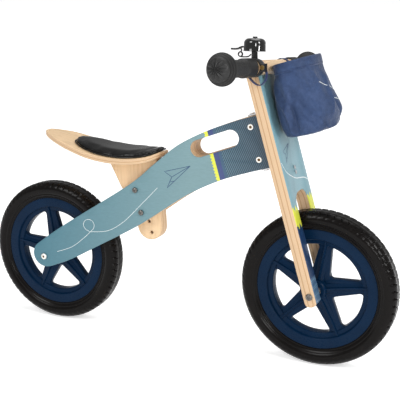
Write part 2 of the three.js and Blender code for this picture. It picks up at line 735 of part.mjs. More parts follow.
function bag() {
  const wall = 2.5;
  const levels = [[284, 68, 46, 54], [292, 68, 52, 60], [316, 68.5, 54, 64], [350, 64.5, 50, 64],
    [385, 65, 45, 63], [402, 68.8, 40, 62], [418, 69, 40, 62]];
  const outside = levels.map(([z, centre, depth, width]) => bagRing(z, centre, depth, width));
  const inside = levels.map(([z, centre, depth, width]) =>
    bagRing(z + wall, centre, depth - wall, width - wall));
  inside[levels.length - 1].forEach((p) => { p.z = levels[levels.length - 1][0]; });
  return loft([...outside, ...inside.reverse()]);
}

// A flat strap loop: over the handlebar, down behind it and forward to the bag.
function bagStrap(side) {
  const thickness = 1.6;
  const [a, b] = mirrored(side, 62.2, 71.6);
  const route = [[-1, 15], [-13, 10], [-19, -4], [-13, -21], [-1, -31], [12, -24], [16, -9], [11, 9]];
  const path = new THREE.CatmullRomCurve3(route.map(([x, z]) => new THREE.Vector3(x, z, 0)), true);
  const steps = 32;
  const edge = (offset) => {
    const loop = [];
    for (let i = 0; i < steps; i += 1) {
      const at = path.getPointAt(i / steps);
      const along = path.getTangentAt(i / steps);
      loop.push(new THREE.Vector2(at.x + along.y * offset, at.y - along.x * offset));
    }
    return loop;
  };
  const shape = new THREE.Shape(edge(thickness / 2));
  shape.holes.push(new THREE.Path(edge(-thickness / 2)));
  return boardXZ(shape, a, b);
}

// ---------------------------------------------------------------- assembly

function wheelGroup(parent, x, z) {
  const group = new THREE.Group();
  group.position.set(x, 0, z);
  parent.add(group);
  return group;
}

function addWheel(group, name, phase) {
  addPart(group, `${name}_tyre`, tyre(), RUBBER, 0.85);
  addPart(group, `${name}_rim`, rim(phase), NAVY, 0.4);
  for (const [word, side] of SIDES) {
    addPart(group, `${name}_hub_bush_${word}`, hubBush(side), STEEL, 0.35, 0.9);
  }
}

function addFrame() {
  for (const [word, side] of SIDES) {
    addPart(bike, `frame_panel_${word}`, framePanel(side), BLUE, 0.55);
  }
  addPart(bike, 'frame_core', frameCore(), WOOD, 0.65);
  for (const [word, z] of BARREL_NUTS) {
    addPart(bike, `steering_barrel_nut_${word}`, barrelNut(z), STEEL, 0.3, 1);
  }
}

function addSaddle() {
  addPart(bike, 'seat_support', seatSupport(), WOOD, 0.65);
  addPart(bike, 'seat_board', seatBoard(), WOOD, 0.6);
  addPart(bike, 'seat_pad', seatPad(), BLACK, 0.3);
  for (const [word, x] of SEAT_SCREWS) {
    addPart(bike, `seat_screw_${word}`, seatScrew(x), STEEL, 0.35, 1);
  }
  const spacerR = 8;
  for (const [word, x, z] of SEAT_BOLTS) {
    addPart(bike, `seat_bolt_${word}`, seatBolt(x, z), STEEL, 0.3, 1);
    addPart(bike, `seat_nut_${word}`, seatNut(x, z), STEEL, 0.3, 1);
    for (const [hand, side] of SIDES) {
      const [a, b] = mirrored(side, SUPPORT_T / 2 + GAP, panelInner(x + spacerR) - GAP);
      addPart(bike, `seat_spacer_${word}_${hand}`, tubeY(spacerR, SEAT_HOLE_R, a, b, x, z), NYLON, 0.5);
    }
  }
}

function addRearAxle(group) {
  const under = panelOuter(REAR_X - 6.5) + GAP;
  addPart(group, 'rear_axle_bolt', axleBolt(under), STEEL, 0.3, 1);
  addPart(group, 'rear_axle_cap', axleCap(under), STEEL, 0.3, 1);
  for (const [word, side] of SIDES) {
    const [a, b] = mirrored(side, HUB_HALF_W + 2.6, panelInner(REAR_X + 8) - GAP);
    addPart(group, `rear_axle_spacer_${word}`, tubeY(8, AXLE_R + GAP, a, b, 0, 0), BLACK, 0.5);
  }
}

function addFork() {
  addPart(front, 'fork_board', forkBoard(), BLUE, 0.55);
  for (const [word, up, edge] of BRACKET_LEGS) {
    const barrelZ = BARREL_NUTS.find(([name]) => name === word)[1];
    addPart(front, `steering_bracket_${word}`, steeringBracket(up, edge), STEEL, 0.4, 1);
    addPart(front, `steering_washer_${word}`, steeringWasher(up, edge), NYLON, 0.5);
    addPart(front, `steering_bolt_${word}`, steeringBolt(up, edge, barrelZ), STEEL, 0.3, 1);
    for (const [i, step] of BRACKET.screws.entries()) {
      const z = edge + up * (BRACKET.washer + 2 * GAP + step);
      addPart(front, `bracket_screw_${word}_${i + 1}`, bracketScrew(z), STEEL, 0.3, 1);
    }
  }
}

function addFrontAxle(group) {
  addPart(group, 'front_axle_bolt', axleBolt(FORK_HALF_W + GAP), STEEL, 0.3, 1);
  addPart(group, 'front_axle_cap', axleCap(FORK_HALF_W + GAP), STEEL, 0.3, 1);
  for (const [word, side] of SIDES) {
    const nut = hexNut(side, HUB_HALF_W + 2.6, FORK_SLOT_HALF_W - GAP);
    addPart(group, `front_axle_nut_${word}`, nut, STEEL, 0.25, 1);
  }
}

function addHandlebar() {
  addPart(bar, 'handlebar', handlebar(), WOOD, 0.6);
  for (const [word, side] of SIDES) {
    addPart(bar, `handlebar_screw_${word}`, barScrew(side), STEEL, 0.3, 1);
    addPart(bar, `grip_${word}`, grip(side), GRIP, 0.7);
    addPart(bar, `bag_strap_${word}`, bagStrap(side), FABRIC, 0.8);
  }
  addPart(front, 'bag', bag(), FABRIC, 0.8);
}

function addBell() {
  const bell = new THREE.Group();
  bell.rotation.y = FORK_TILT;
  bar.add(bell);
  addPart(bell, 'bell_clamp', bellClamp(), BLACK, 0.35);
  addPart(bell, 'bell_clamp_screw', bellScrew(), BRASS, 0.3, 1);
  addPart(bell, 'bell_dome', bellDome(), BLACK, 0.15, 0.6);
  addPart(bell, 'bell_dome_nut', bellNut(), BLACK, 0.3, 0.6);
  addPart(bell, 'bell_spring', bellSpring(), BLACK, 0.35, 0.7);
  addPart(bell, 'bell_striker', bellStriker(), BLACK, 0.35, 0.7);
}

addFrame();
addSaddle();
const rearWheel = wheelGroup(bike, REAR_X, WHEEL_R);
addWheel(rearWheel, 'rear', THREE.MathUtils.degToRad(28));
addRearAxle(rearWheel);
addFork();
const frontWheel = wheelGroup(front, 0, 0);
frontWheel.rotation.y = FORK_TILT;
addWheel(frontWheel, 'front', THREE.MathUtils.degToRad(9));
addFrontAxle(frontWheel);
addHandlebar();
addBell();

export default bike;
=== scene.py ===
import math

import bmesh
import bpy
from mathutils import Matrix, Vector, noise


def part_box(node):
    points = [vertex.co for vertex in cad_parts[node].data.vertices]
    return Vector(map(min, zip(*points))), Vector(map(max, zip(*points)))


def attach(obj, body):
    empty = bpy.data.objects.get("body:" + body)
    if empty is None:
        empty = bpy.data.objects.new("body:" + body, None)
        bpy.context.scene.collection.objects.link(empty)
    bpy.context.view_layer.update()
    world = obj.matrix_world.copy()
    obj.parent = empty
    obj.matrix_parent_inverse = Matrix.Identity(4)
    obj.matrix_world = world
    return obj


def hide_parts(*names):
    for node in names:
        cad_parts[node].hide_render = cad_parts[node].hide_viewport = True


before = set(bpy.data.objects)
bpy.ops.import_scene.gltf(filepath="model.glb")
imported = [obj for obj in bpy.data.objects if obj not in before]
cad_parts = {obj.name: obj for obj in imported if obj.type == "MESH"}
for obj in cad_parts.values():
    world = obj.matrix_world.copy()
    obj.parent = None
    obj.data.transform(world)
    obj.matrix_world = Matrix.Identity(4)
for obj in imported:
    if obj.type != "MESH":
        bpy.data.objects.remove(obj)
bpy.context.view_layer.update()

# A wooden balance bike, drawn over its CAD frame. Shapes are written in millimetres in the
# bike's frame: +X forward, +Y to the rider's left, +Z up, origin on the ground between the axles.

MM = 0.001
GAP = 0.3
REAR_X = -289
FRONT_X = 289
WHEEL_R = 150
FORK_TILT = math.radians(16.5)
FORK = Matrix.Translation((FRONT_X, 0, WHEEL_R)) @ Matrix.Rotation(-FORK_TILT, 4, "Y")

PANEL_T = 12
CORE_HALF = 12
BEND_X = 11
BEND_HALF = 50
SPLAY = 0.11

BAR_X = 14.8
BAR_Z = 419
BAR_R = 13
BAR_HALF = 234
GRIP_IN = 98
BELL_Y = -79
BAR = FORK @ Matrix.Translation((BAR_X, 0, BAR_Z)) @ Matrix.Rotation(math.radians(-3.4), 4, "X")
BELL = BAR @ Matrix.Rotation(FORK_TILT, 4, "Y")

STEER_BACK = -42
BARREL_NUTS = {"upper": 323, "lower": 261}
SEAT_BOLTS = {"upper": (-81, 308), "lower": (-69, 263)}
SIDES = {"right": -1, "left": 1}


# ---------------------------------------------------------------- mesh helpers

class Form:
    """Vertices in millimetres and faces, with a share across the board for each vertex."""

    def __init__(self, verts, faces, across=None):
        self.verts = [Vector(v) for v in verts]
        self.faces = [tuple(f) for f in faces]
        self.across = list(across) if across else [0.5] * len(self.verts)

    def placed(self, matrix):
        return Form([matrix @ v for v in self.verts], self.faces, self.across)

    def bent(self, move):
        return Form([v + Vector(move(v)) for v in self.verts], self.faces, self.across)

    def sliced(self, axis, places):
        """The same shape with extra edges where it crosses these places along one axis."""
        bm = bmesh.new()
        for v in self.verts:
            bm.verts.new(v)
        bm.verts.ensure_lookup_table()
        layer = bm.verts.layers.float.new("across")
        for v, share in zip(bm.verts, self.across):
            v[layer] = share
        for f in self.faces:
            bm.faces.new([bm.verts[i] for i in f])
        normal = Vector((0, 0, 0))
        normal[axis] = 1
        for place in places:
            everything = bm.verts[:] + bm.edges[:] + bm.faces[:]
            bmesh.ops.bisect_plane(bm, geom=everything, plane_co=normal * place, plane_no=normal)
        bm.verts.index_update()
        made = Form([v.co for v in bm.verts], [[v.index for v in f.verts] for f in bm.faces],
                    [v[layer] for v in bm.verts])
        bm.free()
        return made


def joined(*forms):
    verts, faces, across = [], [], []
    for form in forms:
        start = len(verts)
        verts += form.verts
        faces += [[i + start for i in f] for f in form.faces]
        across += form.across
    return Form(verts, faces, across)


def mesh_object(name, form, smooth=35):
    mesh = bpy.data.meshes.new(name)
    mesh.from_pydata([v * MM for v in form.verts], [], form.faces)
    bm = bmesh.new()
    bm.from_mesh(mesh)
    bmesh.ops.recalc_face_normals(bm, faces=bm.faces)
    bm.to_mesh(mesh)
    bm.free()
    attribute = mesh.attributes.new("across", "FLOAT", "POINT")
    attribute.data.foreach_set("value", form.across)
    mesh.shade_smooth()
    mesh.set_sharp_from_angle(angle=math.radians(smooth))
    obj = bpy.data.objects.new(name, mesh)
    bpy.context.scene.collection.objects.link(obj)
    return obj


def piece(name, form, material, body, nodes=(), smooth=35):
    """One finished piece that rides on a CAD body and stands for these CAD nodes."""
    obj = mesh_object(name, form, smooth)
    obj.data.materials.append(MATERIALS[material])
    return settle(obj, body, nodes)


def settle(obj, body, nodes=()):
    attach(obj, body)
    if nodes:
        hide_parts(*nodes)
    return obj


def spline(points, steps=10):
    """A smooth line through every point, as a list of points."""
    line = []
    last = len(points) - 1
    for i in range(last):
        before, a, b, after = (Vector(points[max(i - 1, 0)]), Vector(points[i]), Vector(points[i + 1]),
                               Vector(points[min(i + 2, last)]))
        into = (b - before) / 2
        out = (after - a) / 2
        for step in range(steps):
            t = step / steps
            line.append((2 * a - 2 * b + into + out) * t ** 3 + (3 * b - 3 * a - 2 * into - out) * t ** 2
                        + into * t + a)
    line.append(Vector(points[-1]))
    return line


def loop_spline(points, steps=8):
    """The same, closed on itself."""
    count = len(points)
    ring = [points[i % count] for i in range(-1, count + 2)]
    return spline(ring, steps)[steps:-steps - 1]


def arc(x, y, radius, start, end, steps=10):
    return [Vector((x + radius * math.cos(math.radians(start + (end - start) * i / steps)),
                    y + radius * math.sin(math.radians(start + (end - start) * i / steps))))
            for i in range(steps + 1)]


def curve_between(a, control, b, steps=8):
    a, control, b = Vector(a), Vector(control), Vector(b)
    return [a * (1 - t) ** 2 + control * 2 * t * (1 - t) + b * t * t
            for t in (i / steps for i in range(steps + 1))]


def rounded(points, radius, closed=False, steps=3):
    """A line with its corners rounded off, each by up to this radius."""
    made = []
    count = len(points)
    for i, point in enumerate(points):
        here = Vector(point)
        if not closed and i in (0, count - 1):
            made.append(here)
            continue
        before = Vector(points[i - 1]) - here
        after = Vector(points[(i + 1) % count]) - here
        reach = min(radius, before.length * 0.45, after.length * 0.45)
        start_at = here + before.normalized() * reach
        made += curve_between(start_at, here, here + after.normalized() * reach, steps)
    return made


def quads(rings, per, closed=False):
    """Faces between rings of points; every ring is closed, and the row of rings may be too."""
    faces = []
    for ring in range(rings if closed else rings - 1):
        here = ring * per
        ahead = (ring + 1) % rings * per
        for k in range(per):
            following = (k + 1) % per
            faces.append((here + k, here + following, ahead + following, ahead + k))
    return faces


def lathe(profile, sides, hexes=()):
    """A shape turned about Y from (radius, y) pairs; the pairs numbered in hexes go round a hexagon."""
    verts = []
    for i, (radius, y) in enumerate(profile):
        for side in range(sides):
            angle = 2 * math.pi * side / sides
            r = max(radius, 0.01)
            if i in hexes:
                r *= math.cos(math.pi / 6) / math.cos(angle % (math.pi / 3) - math.pi / 6)
            verts.append((r * math.cos(angle), y, r * math.sin(angle)))
    return Form(verts, quads(len(profile), sides))


def at(x, y, z):
    return Matrix.Translation((x, y, z))


def board(outlines, low, high, bevel=1.2):
    """A board with eased edges, from closed outlines in X and Y: first its edge, then its holes."""
    curve = bpy.data.curves.new("outline", "CURVE")
    curve.dimensions = "2D"
    curve.fill_mode = "BOTH"
    for outline in outlines:
        line = curve.splines.new("POLY")
        line.points.add(len(outline) - 1)
        for point, (x, y) in zip(line.points, outline):
            point.co = (x, y, 0, 1)
        line.use_cyclic_u = True
    curve.extrude = (high - low) / 2 - bevel
    curve.bevel_depth = bevel
    curve.bevel_resolution = 1
    curve.offset = -bevel
    holder = bpy.data.objects.new("outline", curve)
    mesh = bpy.data.meshes.new_from_object(holder)
    bm = bmesh.new()
    bm.from_mesh(mesh)
    bmesh.ops.remove_doubles(bm, verts=bm.verts, dist=0.02)
    bm.verts.index_update()
    middle = (low + high) / 2
    verts = [v.co + Vector((0, 0, middle)) for v in bm.verts]
    faces = [[v.index for v in f.verts] for f in bm.faces]
    bm.free()
    bpy.data.objects.remove(holder)
    bpy.data.curves.remove(curve)
    bpy.data.meshes.remove(mesh)
    return Form(verts, faces, [(v.z - low) / (high - low) for v in verts])


STAND_XZ = Matrix(((1, 0, 0, 0), (0, 0, -1, 0), (0, 1, 0, 0), (0, 0, 0, 1)))
STAND_YZ = Matrix(((0, 0, 1, 0), (1, 0, 0, 0), (0, 1, 0, 0), (0, 0, 0, 1)))


def ring_of(x, y, radius, steps=28):
    return arc(x, y, radius, 0, 360, steps)[:-1]


def tube(line, radius, sides=10, closed=False):
    """A round wire along a line of 3-D points."""
    line = [Vector(p) for p in line]
    count = len(line)
    verts = []
    side_way = Vector((0, 1, 0.01))
    for i, here in enumerate(line):
        ahead = line[(i + 1) % count] if closed else line[min(i + 1, count - 1)]
        behind = line[i - 1] if closed else line[max(i - 1, 0)]
        along = (ahead - behind).normalized()
        u = along.cross(side_way).normalized()
        v = along.cross(u).normalized()
        for k in range(sides):
            angle = 2 * math.pi * k / sides
            verts.append(here + (u * math.cos(angle) + v * math.sin(angle)) * radius)
    faces = quads(count, sides, closed)
    if not closed:
        faces.append(tuple(range(sides)))
        faces.append(tuple(range((count - 1) * sides, count * sides)))
    return Form(verts, faces)


def from_fork(x, z):
    return Vector((FRONT_X + x * math.cos(FORK_TILT) - z * math.sin(FORK_TILT),
                   WHEEL_R + x * math.sin(FORK_TILT) + z * math.cos(FORK_TILT)))


# ---------------------------------------------------------------- material helpers

def add(tree, kind, options=None, values=None, **sockets):
    """A shader node. Options are its own settings; sockets and values are what goes into it."""
    node = tree.nodes.new("ShaderNode" + kind)
    for key, value in (options or {}).items():
        setattr(node, key, value)
    wanted = {key.replace("_", " "): value for key, value in sockets.items()}
    wanted.update(dict(enumerate(values or [])))
    for key, value in wanted.items():
        if isinstance(value, bpy.types.NodeSocket):
            tree.links.new(value, node.inputs[key])
        else:
            node.inputs[key].default_value = value
    return node


def calc(tree, operation, *values):
    return add(tree, "Math", {"operation": operation}, values).outputs[0]


def ramp(tree, factor, stops):
    node = add(tree, "ValToRGB", Fac=factor)
    elements = node.color_ramp.elements
    while len(elements) < len(stops):
        elements.new(0.5)
    for element, (place, color) in zip(elements, stops):
        element.position = place
        element.color = (*color, 1) if hasattr(color, "__len__") else (color, color, color, 1)
    return node.outputs[0]


def blend(tree, factor, a, b, kind="MIX"):
    node = add(tree, "Mix", {"data_type": "RGBA", "blend_type": kind})
    for index, value in ((0, factor), (6, a), (7, b)):
        if isinstance(value, bpy.types.NodeSocket):
            tree.links.new(value, node.inputs[index])
        else:
            node.inputs[index].default_value = value if index == 0 else (*value, 1)
    return node.outputs[2]


def place(tree, scale=(1, 1, 1)):
    coordinates = add(tree, "TexCoord").outputs["Object"]
    return add(tree, "Mapping", Vector=coordinates, Scale=scale).outputs[0]


def noise_of(tree, vector, scale, detail=4, roughness=0.5):
    return add(tree, "TexNoise", Vector=vector, Scale=scale, Detail=detail, Roughness=roughness).outputs[0]


def start(name):
    material = bpy.data.materials.new(name)
    material.use_nodes = True
    tree = material.node_tree
    tree.nodes.clear()
    surface = add(tree, "BsdfPrincipled")
    output = add(tree, "OutputMaterial")
    tree.links.new(surface.outputs[0], output.inputs[0])
    return material, tree, surface


def finish_surface(tree, surface, color=None, rough=None, height=None, strength=0.3, depth=0.0005, **fixed):
    """Wires colour, roughness and bump into a surface. Values that don't vary are set on it directly."""
    for socket, value in (("Base Color", color), ("Roughness", rough)):
        if isinstance(value, bpy.types.NodeSocket):
            tree.links.new(value, surface.inputs[socket])
        elif value is not None:
            surface.inputs[socket].default_value = value
    if height is not None:
        bump = add(tree, "Bump", Height=height, Strength=strength, Distance=depth)
        tree.links.new(bump.outputs[0], surface.inputs["Normal"])
    for key, value in fixed.items():
        surface.inputs[key.replace("_", " ")].default_value = value


# ---------------------------------------------------------------- materials

def wood_face(name, grain, light=(0.76, 0.54, 0.32), dark=(0.64, 0.42, 0.22)):
    """Lacquered birch with its grain along one axis."""
    material, tree, surface = start(name)
    scale = [60, 60, 60]
    scale[grain] = 5
    streaks = noise_of(tree, place(tree, scale), 3, 8, 0.65)
    broad = noise_of(tree, place(tree, [s / 6 for s in scale]), 2.2, 3)
    color = ramp(tree, streaks, [(0.28, dark), (0.48, light), (0.75, [min(1, c * 1.1) for c in light])])
    shade = ramp(tree, broad, [(0.3, 0.82), (0.7, 1.0)])
    color = blend(tree, 1.0, color, shade, "MULTIPLY")
    pores = ramp(tree, streaks, [(0.36, 0.0), (0.46, 1.0)])
    rough = ramp(tree, streaks, [(0.3, 0.52), (0.7, 0.38)])
    finish_surface(tree, surface, color, rough, pores, 0.25, 0.0002, Coat_Weight=0.15, Coat_Roughness=0.2)
    return material


def ply_edge(name, layers):
    """The sawn edge of plywood: light and dark layers across the board."""
    material, tree, surface = start(name)
    across = add(tree, "Attribute", {"attribute_name": "across"}).outputs["Fac"]
    wobble = noise_of(tree, place(tree), 90, 3)
    share = calc(tree, "MULTIPLY_ADD", wobble, 0.035, across)
    wave = calc(tree, "SINE", calc(tree, "MULTIPLY", share, math.pi * layers))
    bands = calc(tree, "MULTIPLY_ADD", wave, 0.5, 0.5)
    fibres = noise_of(tree, place(tree, (1, 1, 1)), 900, 5, 0.7)
    color = ramp(tree, bands, [(0.0, (0.4, 0.22, 0.1)), (0.05, (0.5, 0.32, 0.17)),
                               (0.18, (0.59, 0.41, 0.25))])
    shade = ramp(tree, fibres, [(0.3, 0.8), (0.62, 1.0)])
    color = blend(tree, 1.0, color, shade, "MULTIPLY")
    rough = ramp(tree, fibres, [(0.3, 0.65), (0.7, 0.5)])
    finish_surface(tree, surface, color, rough, fibres, 0.3, 0.0003)
    return material


def fork_axes(tree):
    """Distances in metres along the fork's own X, Y and Z, for patterns that follow the fork."""
    coordinates = add(tree, "TexCoord").outputs["Object"]
    hub = (FRONT_X * MM, 0, WHEEL_R * MM)
    moved = add(tree, "VectorMath", {"operation": "SUBTRACT"}, [coordinates, hub]).outputs[0]
    turned = add(tree, "VectorRotate", {"rotation_type": "Y_AXIS"}, Vector=moved, Angle=FORK_TILT).outputs[0]
    split = add(tree, "SeparateXYZ", Vector=turned)
    return split.outputs[0], split.outputs[1], split.outputs[2]


def step_at(tree, value, edge, soft=0.0002):
    """0 below the edge and 1 above it."""
    past = calc(tree, "SUBTRACT", value, edge)
    eased = {"interpolation_type": "SMOOTHSTEP"}
    return add(tree, "MapRange", eased, Value=past, From_Min=-soft, From_Max=soft).outputs[0]


def paint_surface(tree, surface, color):
    """Satin paint over fine wood grain."""
    grain = noise_of(tree, place(tree, (12, 60, 60)), 8, 6, 0.6)
    peel = noise_of(tree, place(tree), 260, 2)
    shade = ramp(tree, grain, [(0.3, 0.93), (0.7, 1.04)])
    color = blend(tree, 1.0, color, shade, "MULTIPLY")
    rough = ramp(tree, grain, [(0.3, 0.5), (0.7, 0.38)])
    height = calc(tree, "MULTIPLY_ADD", peel, 0.5, grain)
    finish_surface(tree, surface, color, rough, height, 0.08, 0.0003, Coat_Weight=0.1, Coat_Roughness=0.25)


# The panel blue runs from a dark rear colour to a lighter front colour: painted shade towards the rear,
# painted light towards the front.
SHADED_REAR_BLUE = (0.028, 0.131, 0.18)
LIT_FRONT_BLUE = (0.146, 0.247, 0.268)
YELLOW = (0.6, 0.62, 0.05)
INDIGO = (0.03, 0.05, 0.16)


def panel_paint():
    """Blue paint that ends in a toothed yellow line, an indigo band and a hatched head."""
    material, tree, surface = start("panel_paint")
    x, _, z = fork_axes(tree)
    split = add(tree, "SeparateXYZ", Vector=place(tree))
    along = calc(tree, "MULTIPLY_ADD", split.outputs[0], 2.6, 0.9)
    # Painted light falloff: the blue is painted darker towards the rear of the panel.
    base = ramp(tree, along, [(0.0, SHADED_REAR_BLUE), (1.0, LIT_FRONT_BLUE)])
    tooth = calc(tree, "PINGPONG", z, 0.003)
    yellow_from = calc(tree, "SUBTRACT", -0.1345, tooth)
    fall = calc(tree, "MULTIPLY", split.outputs[2], -0.42)
    hatch_line = calc(tree, "MULTIPLY_ADD", split.outputs[0], 0.91, fall)
    stripes = calc(tree, "PINGPONG", calc(tree, "ADD", hatch_line, 1), 0.0018)
    toward_head = add(tree, "MapRange", Value=x, From_Min=-0.115, From_Max=-0.02).outputs[0]
    slate = ramp(tree, toward_head, [(0.0, (0.024, 0.052, 0.082)), (1.0, (0.012, 0.025, 0.043))])
    line_blue = ramp(tree, toward_head, [(0.0, (0.088, 0.185, 0.24)), (1.0, (0.028, 0.064, 0.098))])
    hatch = blend(tree, step_at(tree, stripes, 0.0011, 0.0003), slate, line_blue)
    color = blend(tree, step_at(tree, x, yellow_from), base, YELLOW)
    color = blend(tree, step_at(tree, x, -0.129), color, INDIGO)
    color = blend(tree, step_at(tree, x, -0.118), color, (0.03, 0.08, 0.14))
    color = blend(tree, step_at(tree, x, -0.112), color, hatch)
    paint_surface(tree, surface, color)
    return material


def fork_paint():
    """Pale blue above, a yellow zigzag, navy legs and steel-blue feet with dots."""
    material, tree, surface = start("fork_paint")
    _, y, z = fork_axes(tree)
    zigzag = calc(tree, "PINGPONG", calc(tree, "ADD", y, 0.2), 0.0065)
    tilted = calc(tree, "MULTIPLY_ADD", y, -0.06, calc(tree, "MULTIPLY_ADD", zigzag, 1.6, z))
    cells = add(tree, "TexVoronoi", Vector=place(tree), Scale=260, Randomness=0.1)
    dots = step_at(tree, cells.outputs["Distance"], 0.3, 0.05)
    foot = blend(tree, dots, (0.2, 0.34, 0.42), (0.05, 0.11, 0.2))
    color = blend(tree, step_at(tree, z, 0.033), foot, (0.006, 0.03, 0.09))
    color = blend(tree, step_at(tree, tilted, 0.138), color, YELLOW)
    color = blend(tree, step_at(tree, tilted, 0.172), color, (0.158, 0.297, 0.344))
    paint_surface(tree, surface, color)
    return material


def ink(name, color):
    material, tree, surface = start(name)
    speck = noise_of(tree, place(tree), 700, 3)
    shade = ramp(tree, speck, [(0.35, [c * 0.8 for c in color]), (0.6, color)])
    rough = ramp(tree, speck, [(0.3, 0.55), (0.7, 0.4)])
    finish_surface(tree, surface, shade, rough, speck, 0.1, 0.0001)
    return material


def leatherette():
    material, tree, surface = start("leatherette")
    pebbles = add(tree, "TexVoronoi", {"feature": "SMOOTH_F1"}, Vector=place(tree), Scale=620, Smoothness=0.6)
    folds = noise_of(tree, place(tree), 45, 3)
    height = calc(tree, "MULTIPLY_ADD", folds, 2.0, pebbles.outputs["Distance"])
    rough = ramp(tree, folds, [(0.3, 0.2), (0.7, 0.28)])
    color = ramp(tree, folds, [(0.3, (0.002, 0.002, 0.002)), (0.7, (0.004, 0.004, 0.004))])
    finish_surface(tree, surface, color, rough, height, 0.06, 0.0004, Specular_IOR_Level=0.3)
    return material


def grainy(name, low, high, scale, rough, strength, depth=0.0003, **fixed):
    """A plain moulded surface: colour, gloss and relief vary a little with one noise."""
    material, tree, surface = start(name)
    fine = noise_of(tree, place(tree), scale, 6, 0.6)
    broad = noise_of(tree, place(tree), scale / 18, 2)
    color = blend(tree, broad, low, high)
    roughness = ramp(tree, fine, [(0.3, rough + 0.06), (0.7, rough - 0.04)])
    finish_surface(tree, surface, color, roughness, fine, strength, depth, **fixed)
    return material


def metal(name, color, rough, grain=(1, 1, 1)):
    """Machined metal with fine marks stretched along one way."""
    material, tree, surface = start(name)
    marks = noise_of(tree, place(tree, [g * 400 for g in grain]), 3, 4, 0.7)
    tint = ramp(tree, marks, [(0.3, [c * 0.82 for c in color]), (0.7, color)])
    roughness = ramp(tree, marks, [(0.3, rough + 0.12), (0.7, rough)])
    finish_surface(tree, surface, tint, roughness, marks, 0.08, 0.0001, Metallic=1.0)
    return material


def woven(name, low, high, threads=0.0011):
    """Plain weave: two sets of threads that pass over and under each other."""
    material, tree, surface = start(name)
    coordinates = place(tree)
    split = add(tree, "SeparateXYZ", Vector=coordinates)
    around = calc(tree, "ADD", calc(tree, "MULTIPLY", split.outputs[0], 0.96), split.outputs[1])
    warp = calc(tree, "SINE", calc(tree, "MULTIPLY", around, 2 * math.pi / threads))
    weft = calc(tree, "SINE", calc(tree, "MULTIPLY", split.outputs[2], 2 * math.pi / threads))
    weave = calc(tree, "MULTIPLY", warp, weft)
    slub = noise_of(tree, coordinates, 160, 5, 0.7)
    # Large soft patches, stretched upright, that lighten and darken the cloth: painted light and shade.
    painted_shading = noise_of(tree, place(tree, (14, 14, 7)), 1, 3)
    wrinkles = noise_of(tree, coordinates, 30, 4, 0.6)
    mixed = calc(tree, "MULTIPLY_ADD", weave, 0.16, slub)
    color = blend(tree, ramp(tree, mixed, [(0.3, 0.0), (0.75, 1.0)]), low, high)
    color = blend(tree, 1.0, color, ramp(tree, painted_shading, [(0.34, 0.78), (0.66, 1.28)]), "MULTIPLY")
    rough = ramp(tree, slub, [(0.3, 0.62), (0.7, 0.5)])
    height = calc(tree, "MULTIPLY_ADD", wrinkles, 9, mixed)
    finish_surface(tree, surface, color, rough, height, 0.4, 0.0008, Sheen_Weight=0.1, Sheen_Roughness=0.4,
                   Specular_IOR_Level=0.33)
    return material


MATERIALS = {}


def make_materials():
    MATERIALS.update({
        "wood_x": wood_face("wood_x", 0),
        "wood_z": wood_face("wood_z", 2),
        "bar_wood": wood_face("bar_wood", 1, (0.76, 0.54, 0.33), (0.66, 0.43, 0.23)),
        "edge_12": ply_edge("edge_12", 3),
        "edge_24": ply_edge("edge_24", 5),
        "panel_paint": panel_paint(),
        "fork_paint": fork_paint(),
        "ink_white": ink("ink_white", (0.75, 0.8, 0.8)),
        "ink_blue": ink("ink_blue", (0.02, 0.06, 0.14)),
        "leatherette": leatherette(),
        "foam": grainy("foam", (0.003, 0.0025, 0.0025), (0.006, 0.005, 0.0045), 900, 0.22, 0.12, 0.0004,
                       Specular_IOR_Level=0.1),
        "rim": grainy("rim", (0.001, 0.01, 0.03), (0.002, 0.015, 0.042), 500, 0.28, 0.1,
                      Specular_IOR_Level=0.08),
        "rubber": grainy("rubber", (0.007, 0.007, 0.007), (0.013, 0.013, 0.013), 700, 0.5, 0.3,
                         Specular_IOR_Level=0.35),
        "black": grainy("black", (0.006, 0.006, 0.006), (0.011, 0.011, 0.011), 600, 0.4, 0.15),
        "nylon": grainy("nylon", (0.55, 0.53, 0.47), (0.65, 0.63, 0.58), 400, 0.5, 0.1),
        "lacquer": grainy("lacquer", (0.002, 0.002, 0.002), (0.004, 0.004, 0.004), 120, 0.1, 0.02,
                          Coat_Weight=0.6, Coat_Roughness=0.04),
        "steel": metal("steel", (0.62, 0.62, 0.63), 0.22, (1, 0.05, 1)),
        "zinc": metal("zinc", (0.95, 0.93, 0.88), 0.42),
        "dark_steel": metal("dark_steel", (0.17, 0.16, 0.15), 0.3),
        # Dark bronze-brown, used only for socket floors, where its darkness is painted shade.
        "bronze_socket_shade": metal("bronze_socket_shade", (0.16, 0.09, 0.04), 0.5),
        "brass": metal("brass", (0.6, 0.4, 0.14), 0.25),
        "fabric": woven("fabric", (0.01, 0.025, 0.07), (0.02, 0.044, 0.115)),
        "webbing": woven("webbing", (0.012, 0.022, 0.07), (0.022, 0.036, 0.11), 0.0018),
    })


# ---------------------------------------------------------------- frame

def panel_inner(x):
    behind = BEND_X + BEND_HALF - x
    if behind <= 0:
        return CORE_HALF
    if behind >= 2 * BEND_HALF:
        return CORE_HALF + SPLAY * (BEND_X - x)
    return CORE_HALF + SPLAY * behind * behind / (4 * BEND_HALF)


def panel_outer(x):
    return panel_inner(x) + PANEL_T


def frame_outline():
    head_low, head_high, head_back, head_flat = 242, 341, -23, -62
    tail = (-286, 155)
    low_start = arc(*tail, 28, -70, -70, 1)[0]
    high_end = arc(*tail, 28, 123, 123, 1)[0]
    lower = spline([low_start, (-230, 148), (-160, 187), (-72, 238), (22, 303), (95, 341),
                    from_fork(head_flat, head_low)])
    head = [from_fork(head_back, head_low), from_fork(head_back, head_high)]
    upper = spline([from_fork(head_flat, head_high), (72, 436), (10, 404), (-42, 362), (-97, 316),
                    (-241, 222), high_end])
    return lower + head + upper + arc(*tail, 28, 123, 290, 14)[1:-1]


